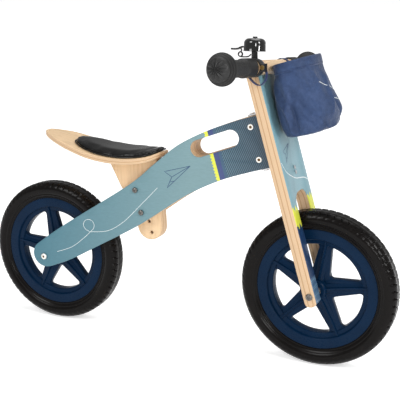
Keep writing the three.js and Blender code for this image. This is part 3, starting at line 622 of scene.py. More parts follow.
def slot_outline():
    turn = Matrix.Rotation(math.radians(20), 2)
    loop = arc(35, 0, 16.5, -90, 90, 12) + arc(-35, 0, 16.5, 90, 270, 12)
    return [turn @ p + Vector((84.5, 411.5)) for p in loop]


def barrel_holes(radius):
    return [ring_of(*from_fork(STEER_BACK, z), radius) for z in BARREL_NUTS.values()]


def frame_panel(side):
    holes = [slot_outline(), *barrel_holes(5.3)] + [ring_of(x, z, 3.4) for x, z in SEAT_BOLTS.values()]
    low, high = (0, PANEL_T) if side < 0 else (-PANEL_T, 0)
    flat = board([frame_outline(), *holes], low, high, 1.3).placed(STAND_XZ)
    cuts = list(range(-320, BEND_X - BEND_HALF, 40))
    cuts += range(BEND_X - BEND_HALF, BEND_X + BEND_HALF + 1, 5)
    form = flat.sliced(0, cuts).bent(lambda v: (0, side * panel_inner(v.x), 0))
    word = "right" if side < 0 else "left"
    obj = mesh_object(f"panel_{word}", form)
    return two_faced(obj, ("edge_12", "panel_paint", "wood_x"), Vector((0, side, 0)),
                     "frame", [f"frame_panel_{word}"])


def two_faced(obj, names, out, body, nodes):
    """Edge material, the finish on the side that faces out, and the finish on the other side."""
    for name in names:
        obj.data.materials.append(MATERIALS[name])
    for face in obj.data.polygons:
        toward = face.normal.dot(out)
        if toward > 0.3:
            face.material_index = 1
        elif toward < -0.97:
            face.material_index = 2
    return settle(obj, body, nodes)


def frame_core():
    outline = [p for p in frame_outline() if p.x > 24 - (p.y - 250) * 48 / 130]
    form = board([outline, slot_outline(), *barrel_holes(5.3)], -11.7, 11.7, 0.6).placed(STAND_XZ)
    return piece("core", form, "edge_24", "frame", ["frame_core"])


def socket_disc(radius, depth):
    """The dark bronze-brown floor of a screw's socket, seen from -Y, at y = 0; its darkness is painted shade
    in the hollow.
    """
    return lathe([(0, 0), (radius * 0.5, 0), (radius, 0), (radius, depth), (0, depth)], 24)


def barrel_nuts():
    for word, z in BARREL_NUTS.items():
        x, height = from_fork(STEER_BACK, z)
        half = CORE_HALF + PANEL_T
        end = [(2.7, half - 0.6), (2.9, half + 1), (5.5, half + 1), (5.5, half + 0.2), (5.2, half)]
        shaft = rounded(end + [(r, -y) for r, y in reversed(end)], 0.2)
        form = lathe(shaft, 32).placed(at(x, 0, height))
        piece(f"barrel_nut_{word}", form, "zinc", "frame", [f"steering_barrel_nut_{word}"])
        # Dark discs at the socket floors: painted shade in the hollows of the barrel nuts.
        discs = [faced(socket_disc(2.8, 2), -side).placed(at(x, side * (half - 0.2), height))
                 for side in SIDES.values()]
        piece(f"barrel_socket_{word}", joined(*discs), "bronze_socket_shade", "frame")


def flight_mark(cx, cz, size):
    """A folded-paper dart in outline, as lines of (x, z) points."""
    nose, wing, fold, tail, keel = (1.0, 0.8), (-1.0, 0.25), (-0.42, -0.1), (-0.8, -0.95), (-0.62, -0.5)
    lines = [[nose, wing, fold, nose], [nose, tail, fold], [fold, keel, (-0.2, -0.38)]]
    return [[Vector(p) * size + Vector((cx, cz)) for p in line] for line in lines]


def ribbon(line, width):
    """A flat stripe along a line of 2-D points."""
    verts, faces = [], []
    line = [Vector(p) for p in line]
    for i, here in enumerate(line):
        along = (line[min(i + 1, len(line) - 1)] - line[max(i - 1, 0)]).normalized()
        off = Vector((-along.y, along.x)) * width / 2
        verts += [(*(here + off), 0), (*(here - off), 0)]
    for i in range(len(line) - 1):
        faces.append((2 * i, 2 * i + 1, 2 * i + 3, 2 * i + 2))
    return Form(verts, faces)


def dense(line, spacing=5):
    """The same line with a point at least every few millimetres."""
    made = []
    for a, b in zip(line, line[1:]):
        a, b = Vector(a), Vector(b)
        steps = max(1, math.ceil((b - a).length / spacing))
        made += [a.lerp(b, i / steps) for i in range(steps)]
    return made + [Vector(line[-1])]


def trail():
    """A flight path as one thin line: a long rise with one round loop in it."""
    path = spline([(-258, 163), (-222, 178), (-190, 204)], 10) + arc(-184, 227, 12, -40, 250, 18)
    path += spline([(-182, 213), (-142, 219), (-108, 240), (-74, 274), (-34, 316)], 10)
    return path


def panel_prints():
    for word, side in SIDES.items():
        def onto(form):
            return form.bent(lambda v: (0, v.z - v.y, v.y - v.z)).bent(
                lambda v: (0, side * (panel_outer(v.x) + 0.12), 0))
        piece(f"print_trail_{word}", onto(ribbon(dense(trail()), 0.75)), "ink_white", "frame")
        dart = [onto(ribbon(dense(line), 1.2)) for line in flight_mark(8, 343, 27)]
        piece(f"print_dart_{word}", joined(*dart), "ink_blue", "frame")


# ---------------------------------------------------------------- saddle

SEAT_LINE = [(-306, 400), (-265, 391), (-225, 380), (-175, 367.5), (-130, 362), (-88, 362), (-52, 367),
             (-26, 378)]
SEAT_T = 11


def seat_height(x):
    line = spline(SEAT_LINE, 12)
    for a, b in zip(line, line[1:]):
        if b.x >= x:
            return a.y + (b.y - a.y) * (x - a.x) / (b.x - a.x)
    return line[-1].y


def seat_plan(side_points):
    right = spline([(x, -y) for x, y in side_points], 8)
    left = [Vector((p.x, -p.y)) for p in reversed(right)]
    return right + left


BOARD_PLAN = [(-305, 6), (-303, 11), (-295, 20), (-279, 32), (-257, 43.5), (-227, 52.5), (-190, 58),
              (-155, 59), (-100, 57), (-62, 47), (-41, 31), (-34, 18)]
PAD_PLAN = [(-228, 10), (-224, 21), (-213, 31), (-196, 40), (-175, 46), (-150, 50), (-100, 50), (-66, 42),
            (-44, 26), (-38, 12)]
PAD_T = 10


def seat_board():
    flat = board([seat_plan(BOARD_PLAN)], 0, SEAT_T, 2.5)
    form = flat.sliced(0, range(-300, -36, 6)).bent(lambda v: (0, 0, seat_height(v.x)))
    obj = mesh_object("saddle_board", form)
    obj.data.materials.append(MATERIALS["edge_12"])
    obj.data.materials.append(MATERIALS["wood_x"])
    for face in obj.data.polygons:
        face.material_index = 1 if abs(face.normal.z) > 0.85 else 0
    return settle(obj, "frame", ["seat_board"])


def inflated(obj, strength, cap, held):
    """Puffs a closed mesh like a stuffed cover: cloth under pressure, with its low edge held."""
    remesh = obj.modifiers.new("remesh", "REMESH")
    remesh.mode = "VOXEL"
    remesh.voxel_size = 0.0045
    bake(obj)
    group = obj.vertex_groups.new(name="held")
    rest = [v.co.copy() for v in obj.data.vertices]
    group.add([v.index for v in obj.data.vertices if held(v.co)], 1.0, "REPLACE")
    cloth = obj.modifiers.new("cloth", "CLOTH")
    cloth.settings.vertex_group_mass = "held"
    cloth.settings.use_pressure = True
    cloth.settings.uniform_pressure_force = strength
    cloth.settings.effector_weights.gravity = 0
    cloth.settings.quality = 6
    for number in range(1, 21):
        bpy.context.scene.frame_set(number)
    bake(obj)
    bpy.context.scene.frame_set(1)
    for vertex, home in zip(obj.data.vertices, rest):
        moved = vertex.co - home
        if moved.length > cap:
            vertex.co = home + moved.normalized() * cap
    smooth = obj.modifiers.new("smooth", "SMOOTH")
    smooth.factor = 0.5
    smooth.iterations = 4
    finer = obj.modifiers.new("finer", "SUBSURF")
    finer.levels = 1
    finer.render_levels = 1
    bake(obj)
    obj.data.shade_smooth()


def bake(obj):
    """Applies every modifier."""
    graph = bpy.context.evaluated_depsgraph_get()
    mesh = bpy.data.meshes.new_from_object(obj.evaluated_get(graph))
    old = obj.data
    obj.modifiers.clear()
    obj.data = mesh
    bpy.data.meshes.remove(old)


def seat_pad():
    base = SEAT_T + GAP
    flat = board([seat_plan(PAD_PLAN)], base, base + PAD_T, 4.5)
    form = flat.sliced(0, range(-224, -40, 8)).bent(lambda v: (0, 0, seat_height(v.x)))
    obj = mesh_object("saddle_pad", form)
    inflated(obj, 4, 0.004, lambda co: co.z < (seat_height(co.x / MM) + base + 3) * MM)
    obj.data.materials.clear()
    obj.data.materials.append(MATERIALS["leatherette"])
    settle(obj, "frame", ["seat_pad"])
    edge = [Vector((p.x, p.y, seat_height(p.x) + base + 2.4)) for p in seat_plan(PAD_PLAN)]
    loop = [p + Vector((0, math.copysign(1.2, p.y), 0)) for p in edge]
    piece("saddle_piping", tube(loop, 1.5, 8, True), "leatherette", "frame", smooth=80)


def seat_support():
    foot_x, foot_z, foot_r = -61, 230, 27.5
    def under(x):
        return (x, seat_height(x) - 0.3)
    outline = curve_between((-126, 307), (-95, 264), (foot_x - foot_r, foot_z), 10)
    outline += arc(foot_x, foot_z, foot_r, 180, 360, 20)[1:-1]
    outline += curve_between((foot_x + foot_r, foot_z), (-38, 300), under(-44), 10)
    outline += [Vector(under(x)) for x in range(-52, -164, -8)]
    holes = [ring_of(-81 + 6 * i, 308 - 22.5 * i, 3.4, 20) for i in range(5)]
    form = board([outline, *holes], -12, 12, 1.2).placed(STAND_XZ)
    obj = mesh_object("saddle_support", form)
    return two_faced(obj, ("edge_24", "wood_z", "wood_z"), Vector((0, 1, 0)), "frame", ["seat_support"])


# ---------------------------------------------------------------- fixings

def cap_head(radius, height, socket):
    """A domed bolt head with a hexagon socket, standing on y = 0."""
    profile = rounded([(0, height * 0.35), (socket, height * 0.35), (socket, height), (radius * 0.62, height),
                       (radius * 0.9, height * 0.72), (radius, height * 0.4), (radius, 0), (0.1, 0)], 0.35)
    depth = height * 0.36
    in_socket = [i for i, (r, y) in enumerate(profile) if r <= socket + 0.4 and y >= depth - 0.4 and i < 12]
    return lathe(profile, 36, in_socket)


def faced(form, side):
    """A shape drawn along +Y, turned to face this side of the bike."""
    return form if side > 0 else form.placed(Matrix.Rotation(math.pi, 4, "Z"))


def seat_fixings():
    for word, (x, z) in SEAT_BOLTS.items():
        under = panel_outer(x - 5.5) + GAP
        head = faced(cap_head(5.5, 3, 2.2), -1).placed(at(x, -under, z))
        shank = lathe([(3, -under), (3, under)], 24).placed(at(x, 0, z))
        piece(f"saddle_bolt_{word}", joined(head, shank), "dark_steel", "frame",
              [f"seat_bolt_{word}"])
        nut = cap_head(5.5, 2.6, 2.2).placed(at(x, under, z))
        piece(f"saddle_nut_{word}", nut, "dark_steel", "frame", [f"seat_nut_{word}"])


def axle_fixings():
    under = panel_outer(REAR_X - 6.5) + GAP
    for name, node, side in (("rear_bolt", "rear_axle_bolt", -1), ("rear_cap", "rear_axle_cap", 1)):
        head = faced(cap_head(6.5, 3.2, 2.8), side).placed(at(REAR_X, side * under, WHEEL_R))
        forms = [head]
        if side < 0:
            forms.append(lathe([(4, -under), (4, under)], 24).placed(at(REAR_X, 0, WHEEL_R)))
        piece(name, joined(*forms), "zinc", "frame", [node])
        # A dark disc in each socket: painted shade in the hollow, with a bronze-brown tone.
        disc = faced(socket_disc(2.7, 0.5), -side).placed(at(REAR_X, side * (under + 1.9), WHEEL_R))
        piece(f"{name}_socket", disc, "bronze_socket_shade", "frame")
    under = 59 + GAP
    for name, node, side in (("front_bolt", "front_axle_bolt", -1), ("front_cap", "front_axle_cap", 1)):
        forms = [faced(cap_head(6.5, 3.2, 2.8), side).placed(at(FRONT_X, side * under, WHEEL_R))]
        if side < 0:
            forms.append(lathe([(4, -under), (4, under)], 24).placed(at(FRONT_X, 0, WHEEL_R)))
        piece(name, joined(*forms), "dark_steel", "fork", [node])


def hex_nut(across, height):
    """A chamfered hexagon nut that stands on y = 0."""
    r = across / math.sqrt(3)
    low = [(4.3, 0.2), (4.6, 0), (r * 0.86, 0), (r, 0.8)]
    return lathe(low + [(x, height - y) for x, y in reversed(low)], 48, (3, 4))


# ---------------------------------------------------------------- wheels

TREAD_BLOCKS = 66


def tyre_profile():
    """(radius, y) round the section of the tyre, with a moulded bead ring low on each sidewall."""
    right = [(108.5, 11.5), (116.3, 11.8), (116.3, 17.3), (117.5, 18.6), (119.5, 18.4), (121, 20.3),
             (123.5, 21.6), (125.5, 21.2), (127.5, 22.6), (130.5, 23.8)]
    right += [(134 + p.y, 8 + p.x) for p in arc(0, 0, 16, 0, 90, 9)]
    right += [(149.6, 5.2), (149.6, 0.9), (148.4, 0.3)]
    left = [(r, -y) for r, y in reversed(right)]
    return right + left


def tyre(name, x):
    """A foam tyre with a centre groove and a row of slanted notches along each shoulder."""
    per_block = 6
    sides = TREAD_BLOCKS * per_block
    profile = tyre_profile()
    form = lathe(profile + [profile[0]], sides)
    verts = []
    for i in range(len(profile) + 1):
        radius, y = profile[i % len(profile)]
        on_shoulder = radius > 133.5 and 5 < abs(y) < 24.2
        lean = round((24 - abs(y)) / 7)
        for side in range(sides):
            v = form.verts[i * sides + side].copy()
            shift = lean if y > 0 else lean + per_block // 2
            if on_shoulder and (side + shift) % per_block == 0:
                inward = Vector((v.x, 0, v.z)).normalized()
                depth = 1.9 * math.sin(math.pi * min(1, max(0.15, (abs(y) - 4) / 20)))
                v -= inward * depth * 0.7 + Vector((0, math.copysign(depth, y), 0))
            verts.append(v)
    made = Form(verts, form.faces).placed(at(x, 0, WHEEL_R))
    return piece(f"{name}_tyre_foam", made, "foam", f"{name}_wheel", [f"{name}_tyre"], 28)


def window(angle):
    """One rounded opening between two spokes that widen towards the hub."""
    outer, vertex, end_half, corner = 87, 31, 11.5, 9
    reach = math.pi / 5 - math.asin(end_half / outer)
    arch = arc(0, 0, outer, -math.degrees(reach), math.degrees(reach), 10)
    inner = Vector((vertex, 0))
    loop = []
    for before, here, after in ((arch[-1], inner, arch[0]), (inner, arch[0], arch[1]),
                                (arch[-2], arch[-1], inner)):
        if here is arch[-1]:
            loop += arch[1:-1]
        start_at = here + (before - here).normalized() * min(corner, (before - here).length)
        end_at = here + (after - here).normalized() * min(corner, (after - here).length)
        loop += curve_between(start_at, here, end_at, 6)
    turn = Matrix.Rotation(angle, 2)
    return [turn @ p for p in loop]


def spoke_ridge():
    """A spoke's raised middle: it slopes like a roof to a narrow fin on each side."""
    section = [(-10, 5), (-8.5, 7.2), (-2.6, 9), (-1.3, 12.5), (1.3, 12.5), (2.6, 9), (8.5, 7.2), (10, 5)]
    ring = section + [(w, -y) for w, y in reversed(section)]
    verts = [(x, y * k, w) for x, k in ((14, 1.4), (30, 1.1), (70, 0.95), (97, 1.1)) for w, y in ring]
    count = len(ring)
    ends = [tuple(range(count)), tuple(range(3 * count, 4 * count))]
    return Form(verts, quads(4, count) + ends)


def rim(name, x, phase):
    plate = board([ring_of(0, 0, 96, 96)] + [window(phase + math.pi / 5 * (2 * i + 1)) for i in range(5)],
                  -7, 7, 1.6).placed(STAND_XZ)
    half = [(87, 8.5), (88.5, 10.5), (95.5, 11.5), (97, 16.2), (98, 17), (116, 17), (116, 12), (108, 12)]
    ring = rounded([(r, -y) for r, y in half] + list(reversed(half)), 0.7, True)
    hub = rounded([(8.3, -22), (18, -22), (20, -20), (20, 20), (18, 22), (8.3, 22)], 1.0, True)
    forms = [plate, lathe(ring + [ring[0]], 120), lathe(hub + [hub[0]], 48)]
    for i in range(5):
        forms.append(spoke_ridge().placed(Matrix.Rotation(-(phase + i * math.tau / 5), 4, "Y")))
    form = joined(*forms).placed(at(x, 0, WHEEL_R))
    return piece(f"{name}_rim_moulding", form, "rim", f"{name}_wheel", [f"{name}_rim"], 30)


# ---------------------------------------------------------------- fork

def fork_board():
    half, slot_half, top, foot, slot_top, corner = 59, 33, 428, -20, 187, 24
    outline = [(-half, foot), (-slot_half, foot)]
    outline += arc(-slot_half + corner, slot_top - corner, corner, 180, 90, 8)
    outline += arc(slot_half - corner, slot_top - corner, corner, 90, 0, 8)
    outline += [(slot_half, foot), (half, foot)]
    outline += arc(half - 8, top - 8, 8, 0, 90, 6) + arc(-half + 8, top - 8, 8, 90, 180, 6)
    flat = board([outline], -12, 12, 1.3).placed(STAND_YZ)
    foot_r = 11
    form = flat.sliced(2, [foot + d for d in (1, 2, 3.5, 5, 7, 9, 11)])

    def rounded_foot(v):
        down = foot + foot_r - v.z
        if down <= 0:
            return (0, 0, 0)
        room = 1 + math.sqrt(max(0, foot_r ** 2 - down ** 2))
        return (math.copysign(min(abs(v.x), room), v.x) - v.x, 0, 0)

    obj = mesh_object("fork", form.bent(rounded_foot).placed(FORK))
    out = FORK.to_3x3() @ Vector((1, 0, 0))
    return two_faced(obj, ("edge_24", "fork_paint", "wood_z"), out, "fork", ["fork_board"])


def fork_prints():
    face = 12.15
    onto = FORK @ at(face, 0, 0) @ STAND_YZ
    wave = spline([(-58, 250), (-46, 232), (-28, 221), (-6, 212), (18, 208), (40, 204), (58, 196)], 8)
    piece("print_wave", ribbon(wave, 1.5).placed(onto), "ink_white", "fork")
    dart = joined(*[ribbon(dense(line), 1.0) for line in flight_mark(-18, 262, 19)])
    piece("print_fork_dart", dart.placed(onto), "ink_blue", "fork")


# ---------------------------------------------------------------- handlebar

def handlebar():
    profile = rounded([(0, -BAR_HALF), (BAR_R, -BAR_HALF), (BAR_R, BAR_HALF), (0, BAR_HALF)], 1.5)
    form = lathe(profile, 48).placed(BAR)
    piece("bar", form, "bar_wood", "fork", ["handlebar"])


def grip(side):
    """Rubber grip: a collar, a ribbed neck, three stepped rings and a fluted dome."""
    outside = [(13.3, GRIP_IN - 3), (15.6, GRIP_IN - 3), (16.7, GRIP_IN), (16.7, GRIP_IN + 34),
               (15.4, GRIP_IN + 38)]
    y = GRIP_IN + 40
    while y < 204:
        outside += [(14.7, y), (14.1, y + 0.8), (14.1, y + 1.5), (14.7, y + 2.3)]
        y += 4.6
    outside += [(14.7, 208), (17, 211.5), (25.5, 214)]
    for radius, low in ((27, 214.6), (24.9, 219), (22.6, 223.4)):
        outside += [(radius, low + 0.4), (radius - 0.2, low + 2.2), (radius - 4.4, low + 2.9),
                    (radius - 4.4, low + 4.2)]
    outside += [(20.2 * p.x, 228 + 13.8 * p.y) for p in arc(0, 0, 1, 0, 90, 12)]
    form = lathe(rounded(outside, 0.4), 96)
    flutes = 12

    def fluted(v):
        r = math.hypot(v.x, v.z)
        if v.y < 228.2 or r < 2:
            return (0, 0, 0)
        wave = 0.5 + 0.5 * math.cos(flutes * math.atan2(v.z, v.x))
        return (0, -2.1 * wave * math.sin(math.pi * min(1, r / 20.2)), 0)

    word = "left" if side > 0 else "right"
    form = faced(form.bent(fluted), side).placed(BAR)
    piece(f"grip_{word}_rubber", form, "rubber", "fork", [f"grip_{word}"])


# ---------------------------------------------------------------- bell

DOME_R = 19
DOME_LOW = 28
DOME_HIGH = 50
DOME_WALL = 1.6
DOME_CORNER = 9
STAND_UP = Matrix.Rotation(math.pi / 2, 4, "X")


def bell():
    here = BELL @ at(0, BELL_Y, 0)
    ring = rounded([(13.3, -7), (16.5, -7), (16.5, 7), (13.3, 7)], 0.8, True)
    forms = [lathe(ring + [ring[0]], 40)]
    forms.append(board([[(13.8, -6), (22, -6), (22, 8), (13.8, 8)]], -7, 7, 1).placed(STAND_XZ))
    post = [(-5, 15), (6, 15), (5, 28), (4, 46.6), (-4, 46.6), (-5, 28)]
    forms.append(board([post], -2, 2, 0.6).placed(STAND_XZ))
    stud = lathe([(0, 44), (2, 44), (2, 52), (1.4, 52.5), (0, 52.5)], 16).placed(STAND_UP)
    forms.append(stud)
    piece("bell_bracket", joined(*forms).placed(here), "black", "fork", ["bell_clamp"])
    outer = [(DOME_R, DOME_LOW), (DOME_R + 0.5, DOME_LOW + 0.8), (DOME_R, DOME_LOW + 1.8)]
    outer += arc(DOME_R - DOME_CORNER, DOME_HIGH - DOME_CORNER, DOME_CORNER, 0, 90, 8)
    inner = [(r - DOME_WALL if r > 12 else r, y - (DOME_WALL if y > 36 else 0)) for r, y in reversed(outer)]
    loop = outer + [(2.4, DOME_HIGH), (2.4, DOME_HIGH - DOME_WALL)] + inner
    dome = lathe(loop + [loop[0]], 64).placed(STAND_UP)
    piece("bell_cup", dome.placed(here), "lacquer", "fork", ["bell_dome"])
    nut_r = 4.6
    low, high = DOME_HIGH + GAP, DOME_HIGH + 3
    nut = lathe([(2.3, low), (nut_r * 0.9, low), (nut_r, low + 0.5), (nut_r, high - 0.7),
                 (nut_r * 0.85, high), (2.3, high)], 48, (2, 3)).placed(STAND_UP)
    piece("bell_nut", nut.placed(here), "lacquer", "fork", ["bell_dome_nut"])
    bell_spring(here)
    bell_striker(here)


def bell_spring(here):
    px, pz, r = -26, 22.5, 3.9
    turns = [(px + r * math.cos(t), 1.6 * t / math.tau - 1.6, pz + r * math.sin(t))
             for t in (math.tau * i / 20 - math.pi / 2 for i in range(36))]
    arm = spline([(px, -2, pz - r), (px + 6, -1.5, pz - r - 0.5), (-11, -0.5, 19), (-6.5, 0, 23)], 6)
    line = [Vector(p) for p in reversed(arm)] + [Vector(p) for p in turns[1:]]
    piece("bell_wire", tube(line, 1.2).placed(here), "lacquer", "fork", ["bell_spring"])


def bell_striker(here):
    strip = curve_between((-43, 29.8), (-33, 29), (-28, 30.5))
    strip += curve_between((-28, 30.5), (-24, 32.5), (-21.2, 34))
    strip += curve_between((-22.4, 36.8), (-26, 35.6), (-29, 34))
    strip += curve_between((-29, 34), (-34, 32.6), (-43, 33))
    lever = board([strip], -4, 4, 0.4).placed(STAND_XZ)
    stem = tube(spline([(-26, 0, 26.6), (-24, 0, 29.5), (-26, 0, 32.5)], 6), 1.2)
    piece("bell_lever", joined(lever, stem).placed(here), "lacquer", "striker",
          ["bell_striker"])


# ---------------------------------------------------------------- bag

BAG_X = 65
BAG_LOW = 287
BAG_WALL = 1.6
# The half depth and half width that the wall's thickness is taken as a share of.
BAG_HALVES = (42, 58)
BAG_SQUARENESS = 2 / 2.7
# Heights up the bag, each with the middle, half depth and half width of its outline there.
BAG_LEVELS = [(287, 64, 34, 43), (292, 64.5, 44, 54), (316, 66, 50.5, 61), (350, 62.5, 47, 61),
              (385, 63, 42.5, 60), (402, 66.5, 38, 58.5), (418, 66.5, 37.5, 58.5)]
# Long folds of the slack cloth: angle, height, turn per mm of height, length, width, rise.
BAG_FOLDS = [(-110, 322, 0.15, 24, 4, 5), (-98, 328, 0.15, 34, 6, -7), (-74, 318, -0.6, 32, 4, 5),
             (-46, 300, -0.9, 18, 5, -6), (-52, 372, 0.7, 22, 6, 3), (-8, 345, 0.5, 30, 6, 4),
             (20, 308, -0.5, 22, 5, -6)]


def bag_fold(x, y, z, centre):
    """How far a soft crease pushes the cloth out; the side against the fork stays flat."""
    swell = noise.noise(Vector((x / 40, y / 40, (z + 0.9 * y) / 46)))
    run = x + 0.45 * z
    crease = 0.2 - abs(noise.noise(Vector((run / 24 + 4, y / 60, z / 90))))
    small = noise.noise(Vector((x / 13, y / 13, z / 24)))
    angle = math.degrees(math.atan2(y, x - centre))
    long_folds = 0
    for middle, height, turn, length, width, rise in BAG_FOLDS:
        aside = angle - middle - turn * (z - height)
        long_folds += rise * math.exp(-(aside / width) ** 2 - ((z - height) / length) ** 2)
    ahead = min(1, max(0.05, (x - centre + 46) / 34))
    slack = min(1, max(0.2, (412 - z) / 34))
    return (swell * 5 + crease * 12 + small * 1.2) * ahead * slack + long_folds * slack


def bag_point(angle, z, centre, depth, width, lift=0):
    """A point of the cloth at one height, on a rounded rectangle with the folds added."""
    c, s = math.cos(angle), math.sin(angle)
    x = centre + depth * math.copysign(abs(c) ** BAG_SQUARENESS, c)
    y = width * math.copysign(abs(s) ** BAG_SQUARENESS, s)
    out = Vector((x - centre, y)).normalized() * (bag_fold(x, y, z, centre) + lift)
    return Vector((x + out.x, y + out.y, z))


def bag_ring(z, centre, depth, width, count=180):
    return [bag_point(math.tau * i / count, z, centre, depth, width) for i in range(count)]


def skin(rings):
    return Form([p for ring in rings for p in ring], quads(len(rings), len(rings[0])))


def bag_levels(steps=8):
    return [tuple(v) for v in spline([Vector(level).to_4d() for level in BAG_LEVELS], steps)]


def bag():
    levels = bag_levels()
    outside = [bag_ring(*level) for level in levels]

    def drawn_in(ring, in_x, in_y, z):
        return [Vector((BAG_X + (p.x - BAG_X) * in_x, p.y * in_y, z)) for p in ring]

    bottom = [drawn_in(outside[0], k, k, BAG_LOW - 1.5 * (1 - k)) for k in (0.02, 0.3, 0.6, 0.85, 0.96)]
    lined = [1 - BAG_WALL / half for half in BAG_HALVES]
    inside = [drawn_in(ring, *lined, ring[0].z + BAG_WALL * (i == 0)) for i, ring in enumerate(outside)]
    floor = [drawn_in(outside[0], k, k, BAG_LOW + 2) for k in (0.9, 0.5, 0.02)]
    form = skin(bottom + outside + inside[::-1] + floor).placed(FORK)
    piece("bag_shell", form, "fabric", "fork", ["bag"], 60)
    hem(outside)
    stitches(outside)
    bag_print(levels)


def hem(outside):
    """A folded band round the mouth of the bag."""
    top = outside[-1]
    band = []
    for lift, out in ((-17, 0.2), (-16.4, 1.3), (-9, 1.7), (-1, 1.6), (1.2, 0.9), (1.6, -0.6), (0.6, -2.0),
                      (-8, -2.4), (-16, -2.2)):
        ring = []
        for p in top:
            away = Vector((p.x - BAG_X, p.y, 0)).normalized()
            ring.append(p + away * out + Vector((0, 0, lift)))
        band.append(ring)
    piece("bag_hem", skin(band).placed(FORK), "fabric", "fork", smooth=60)


def stitches(outside):
    """Two rows of short stitches along the hem."""
    top = outside[-1]
    forms = []
    for drop in (-3, -14.5):
        for i in range(len(top)):
            a, b = top[i], top[(i + 1) % len(top)]
            for low, high in ((0.05, 0.4), (0.55, 0.9)):
                ends = []
                for share in (low, (low + high) / 2, high):
                    p = a.lerp(b, share)
                    away = Vector((p.x - BAG_X, p.y, 0)).normalized()
                    ends.append(p + away * 1.75 + Vector((0, 0, drop)))
                forms.append(tube(ends, 0.28, 5))
    piece("bag_stitches", joined(*forms).placed(FORK), "webbing", "fork")


def bag_print(levels):
    """Two thin chevrons printed on the front of the bag."""
    forms = []
    for lines in ([(-0.12, 372), (0.16, 346), (0.42, 366)], [(-0.02, 340), (0.22, 322), (0.44, 338)]):
        verts, faces = [], []
        steps = [Vector(a).lerp(Vector(b), k / 16) for a, b in zip(lines, lines[1:]) for k in range(17)]
        for p in steps:
            for lift in (-0.6, 0.6):
                verts.append(bag_surface(levels, p.x * math.pi, p.y + lift))
        for i in range(len(steps) - 1):
            faces.append((2 * i, 2 * i + 1, 2 * i + 3, 2 * i + 2))
        forms.append(Form(verts, faces))
    piece("bag_print", joined(*forms).placed(FORK), "ink_white", "fork")


def bag_surface(levels, angle, z):
    """The point on the outside of the bag at this angle and height, a hair above the cloth."""
    for a, b in zip(levels, levels[1:]):
        if b[0] >= z:
            break
    t = (z - a[0]) / (b[0] - a[0])
    _, centre, depth, width = (p + (q - p) * t for p, q in zip(a, b))
    return bag_point(angle, z, centre, depth, width, 0.5)


def bag_strap(side):
    route = [(-1, 15), (-13, 10), (-19, -4), (-13, -21), (-1, -31), (12, -24), (16, -9), (11, 9)]
    line = loop_spline(route, 6)
    count = len(line)
    section = rounded([(-4.7, -0.8), (4.7, -0.8), (4.7, 0.8), (-4.7, 0.8)], 0.5, True, 2)
    verts = []
    for i, here in enumerate(line):
        along = (line[(i + 1) % count] - line[i - 1]).normalized()
        for y, off in section:
            p = here + Vector((along.y, -along.x)) * off
            verts.append((p.x, side * 66.9 + y, p.y))
    form = Form(verts, quads(count, len(section), True)).placed(BAR)
    word = "left" if side > 0 else "right"
    piece(f"strap_{word}", form, "webbing", "fork",
          [f"bag_strap_{word}"], 50)


# ---------------------------------------------------------------- carried-over pieces

CARRIED = {
    "steel": ("steering_bracket", "steering_bolt", "bracket_screw", "handlebar_screw", "seat_screw",
              "hub_bush"),
    "nylon": ("steering_washer", "seat_spacer"),
    "black": ("rear_axle_spacer",),
    "brass": ("bell_clamp_screw",),
}


def dress_carried():
    """The small fixings stay as the CAD made them, with a finish of their own."""
    for name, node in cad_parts.items():
        if node.hide_render:
            continue
        for finish, words in CARRIED.items():
            if any(word in name for word in words):
                node.data.materials.clear()
                node.data.materials.append(MATERIALS[finish])


def front_nuts():
    for word, side in SIDES.items():
        node = f"front_axle_nut_{word}"
        low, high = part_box(node)
        height = (high.y - low.y) / MM
        near = min(abs(low.y), abs(high.y)) / MM
        form = faced(hex_nut(13, height), side).placed(at(FRONT_X, side * near, WHEEL_R))
        piece(f"front_nut_{word}", form, "steel", "fork", [node])


# ---------------------------------------------------------------- stage

def stage_floor():
    half = 60000
    form = Form([(-half, -half, 0), (half, -half, 0), (half, half, 0), (-half, half, 0)], [(0, 1, 2, 3)])
    obj = mesh_object("floor", form)
    material, tree, surface = start("floor")
    grain = noise_of(tree, place(tree), 3, 2)
    color = ramp(tree, grain, [(0.3, 0.78), (0.7, 0.8)])
    distance = add(tree, "VectorMath", {"operation": "LENGTH"}, [place(tree)]).outputs["Value"]
    glow = ramp(tree, calc(tree, "MULTIPLY", distance, 0.25), [(0.15, 0.5), (0.7, 0.8)])
    finish_surface(tree, surface, color, 0.9, Emission_Color=(1, 1, 1, 1))
    tree.links.new(glow, surface.inputs["Emission Strength"])
    obj.data.materials.append(material)


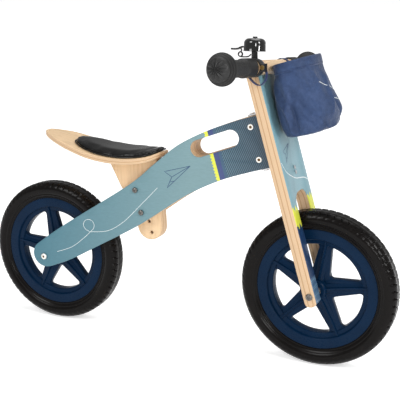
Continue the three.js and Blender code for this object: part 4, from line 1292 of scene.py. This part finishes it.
def area_light(name, where, target, size, power):
    data = bpy.data.lights.new(name, "AREA")
    data.shape = "RECTANGLE"
    data.size, data.size_y = size
    data.energy = power
    obj = bpy.data.objects.new(name, data)
    obj.location = where
    obj.rotation_euler = (Vector(target) - Vector(where)).to_track_quat("-Z", "Y").to_euler()
    bpy.context.scene.collection.objects.link(obj)


def light_and_camera():
    scene = bpy.context.scene
    world = bpy.data.worlds.new("studio")
    scene.world = world
    world.use_nodes = True
    tree = world.node_tree
    seen = add(tree, "LightPath").outputs["Is Camera Ray"]
    strength = add(tree, "MapRange", Value=seen, To_Min=0.4, To_Max=1.0)
    background = tree.nodes["Background"]
    background.inputs["Color"].default_value = (1, 1, 1, 1)
    tree.links.new(strength.outputs[0], background.inputs["Strength"])
    area_light("key", (-1.0, -2.4, 2.4), (0, 0, 0.3), (1.2, 1.2), 46)
    area_light("front", (2.2, -0.8, 1.5), (0.1, 0, 0.3), (0.35, 0.9), 30)
    area_light("side", (1.5, -2.3, 0.95), (0.2, 0, 0.25), (0.25, 0.7), 16)
    area_light("top", (0.2, 0.6, 3.0), (0, 0, 0.3), (2.0, 2.0), 34)
    scene.view_settings.view_transform = "Standard"
    camera = bpy.data.cameras.new("camera")
    camera.lens = 73.72
    camera.sensor_width = 36
    obj = bpy.data.objects.new("camera", camera)
    obj.location = (0.6903, -1.4138, 0.6827)
    turn, tilt = math.radians(24.55), math.radians(14.07)
    look = Vector((-math.sin(turn) * math.cos(tilt), math.cos(turn) * math.cos(tilt), -math.sin(tilt)))
    obj.rotation_euler = look.to_track_quat("-Z", "Y").to_euler()
    scene.collection.objects.link(obj)
    scene.camera = obj


# ---------------------------------------------------------------- everything

def build():
    make_materials()
    for side in SIDES.values():
        frame_panel(side)
        grip(side)
        bag_strap(side)
    frame_core()
    barrel_nuts()
    panel_prints()
    seat_board()
    seat_pad()
    seat_support()
    seat_fixings()
    axle_fixings()
    front_nuts()
    for name, x, phase in (("rear", REAR_X, 28), ("front", FRONT_X, 9)):
        tyre(name, x)
        rim(name, x, math.radians(phase))
    fork_board()
    fork_prints()
    handlebar()
    bell()
    bag()
    dress_carried()
    stage_floor()
    light_and_camera()


build()
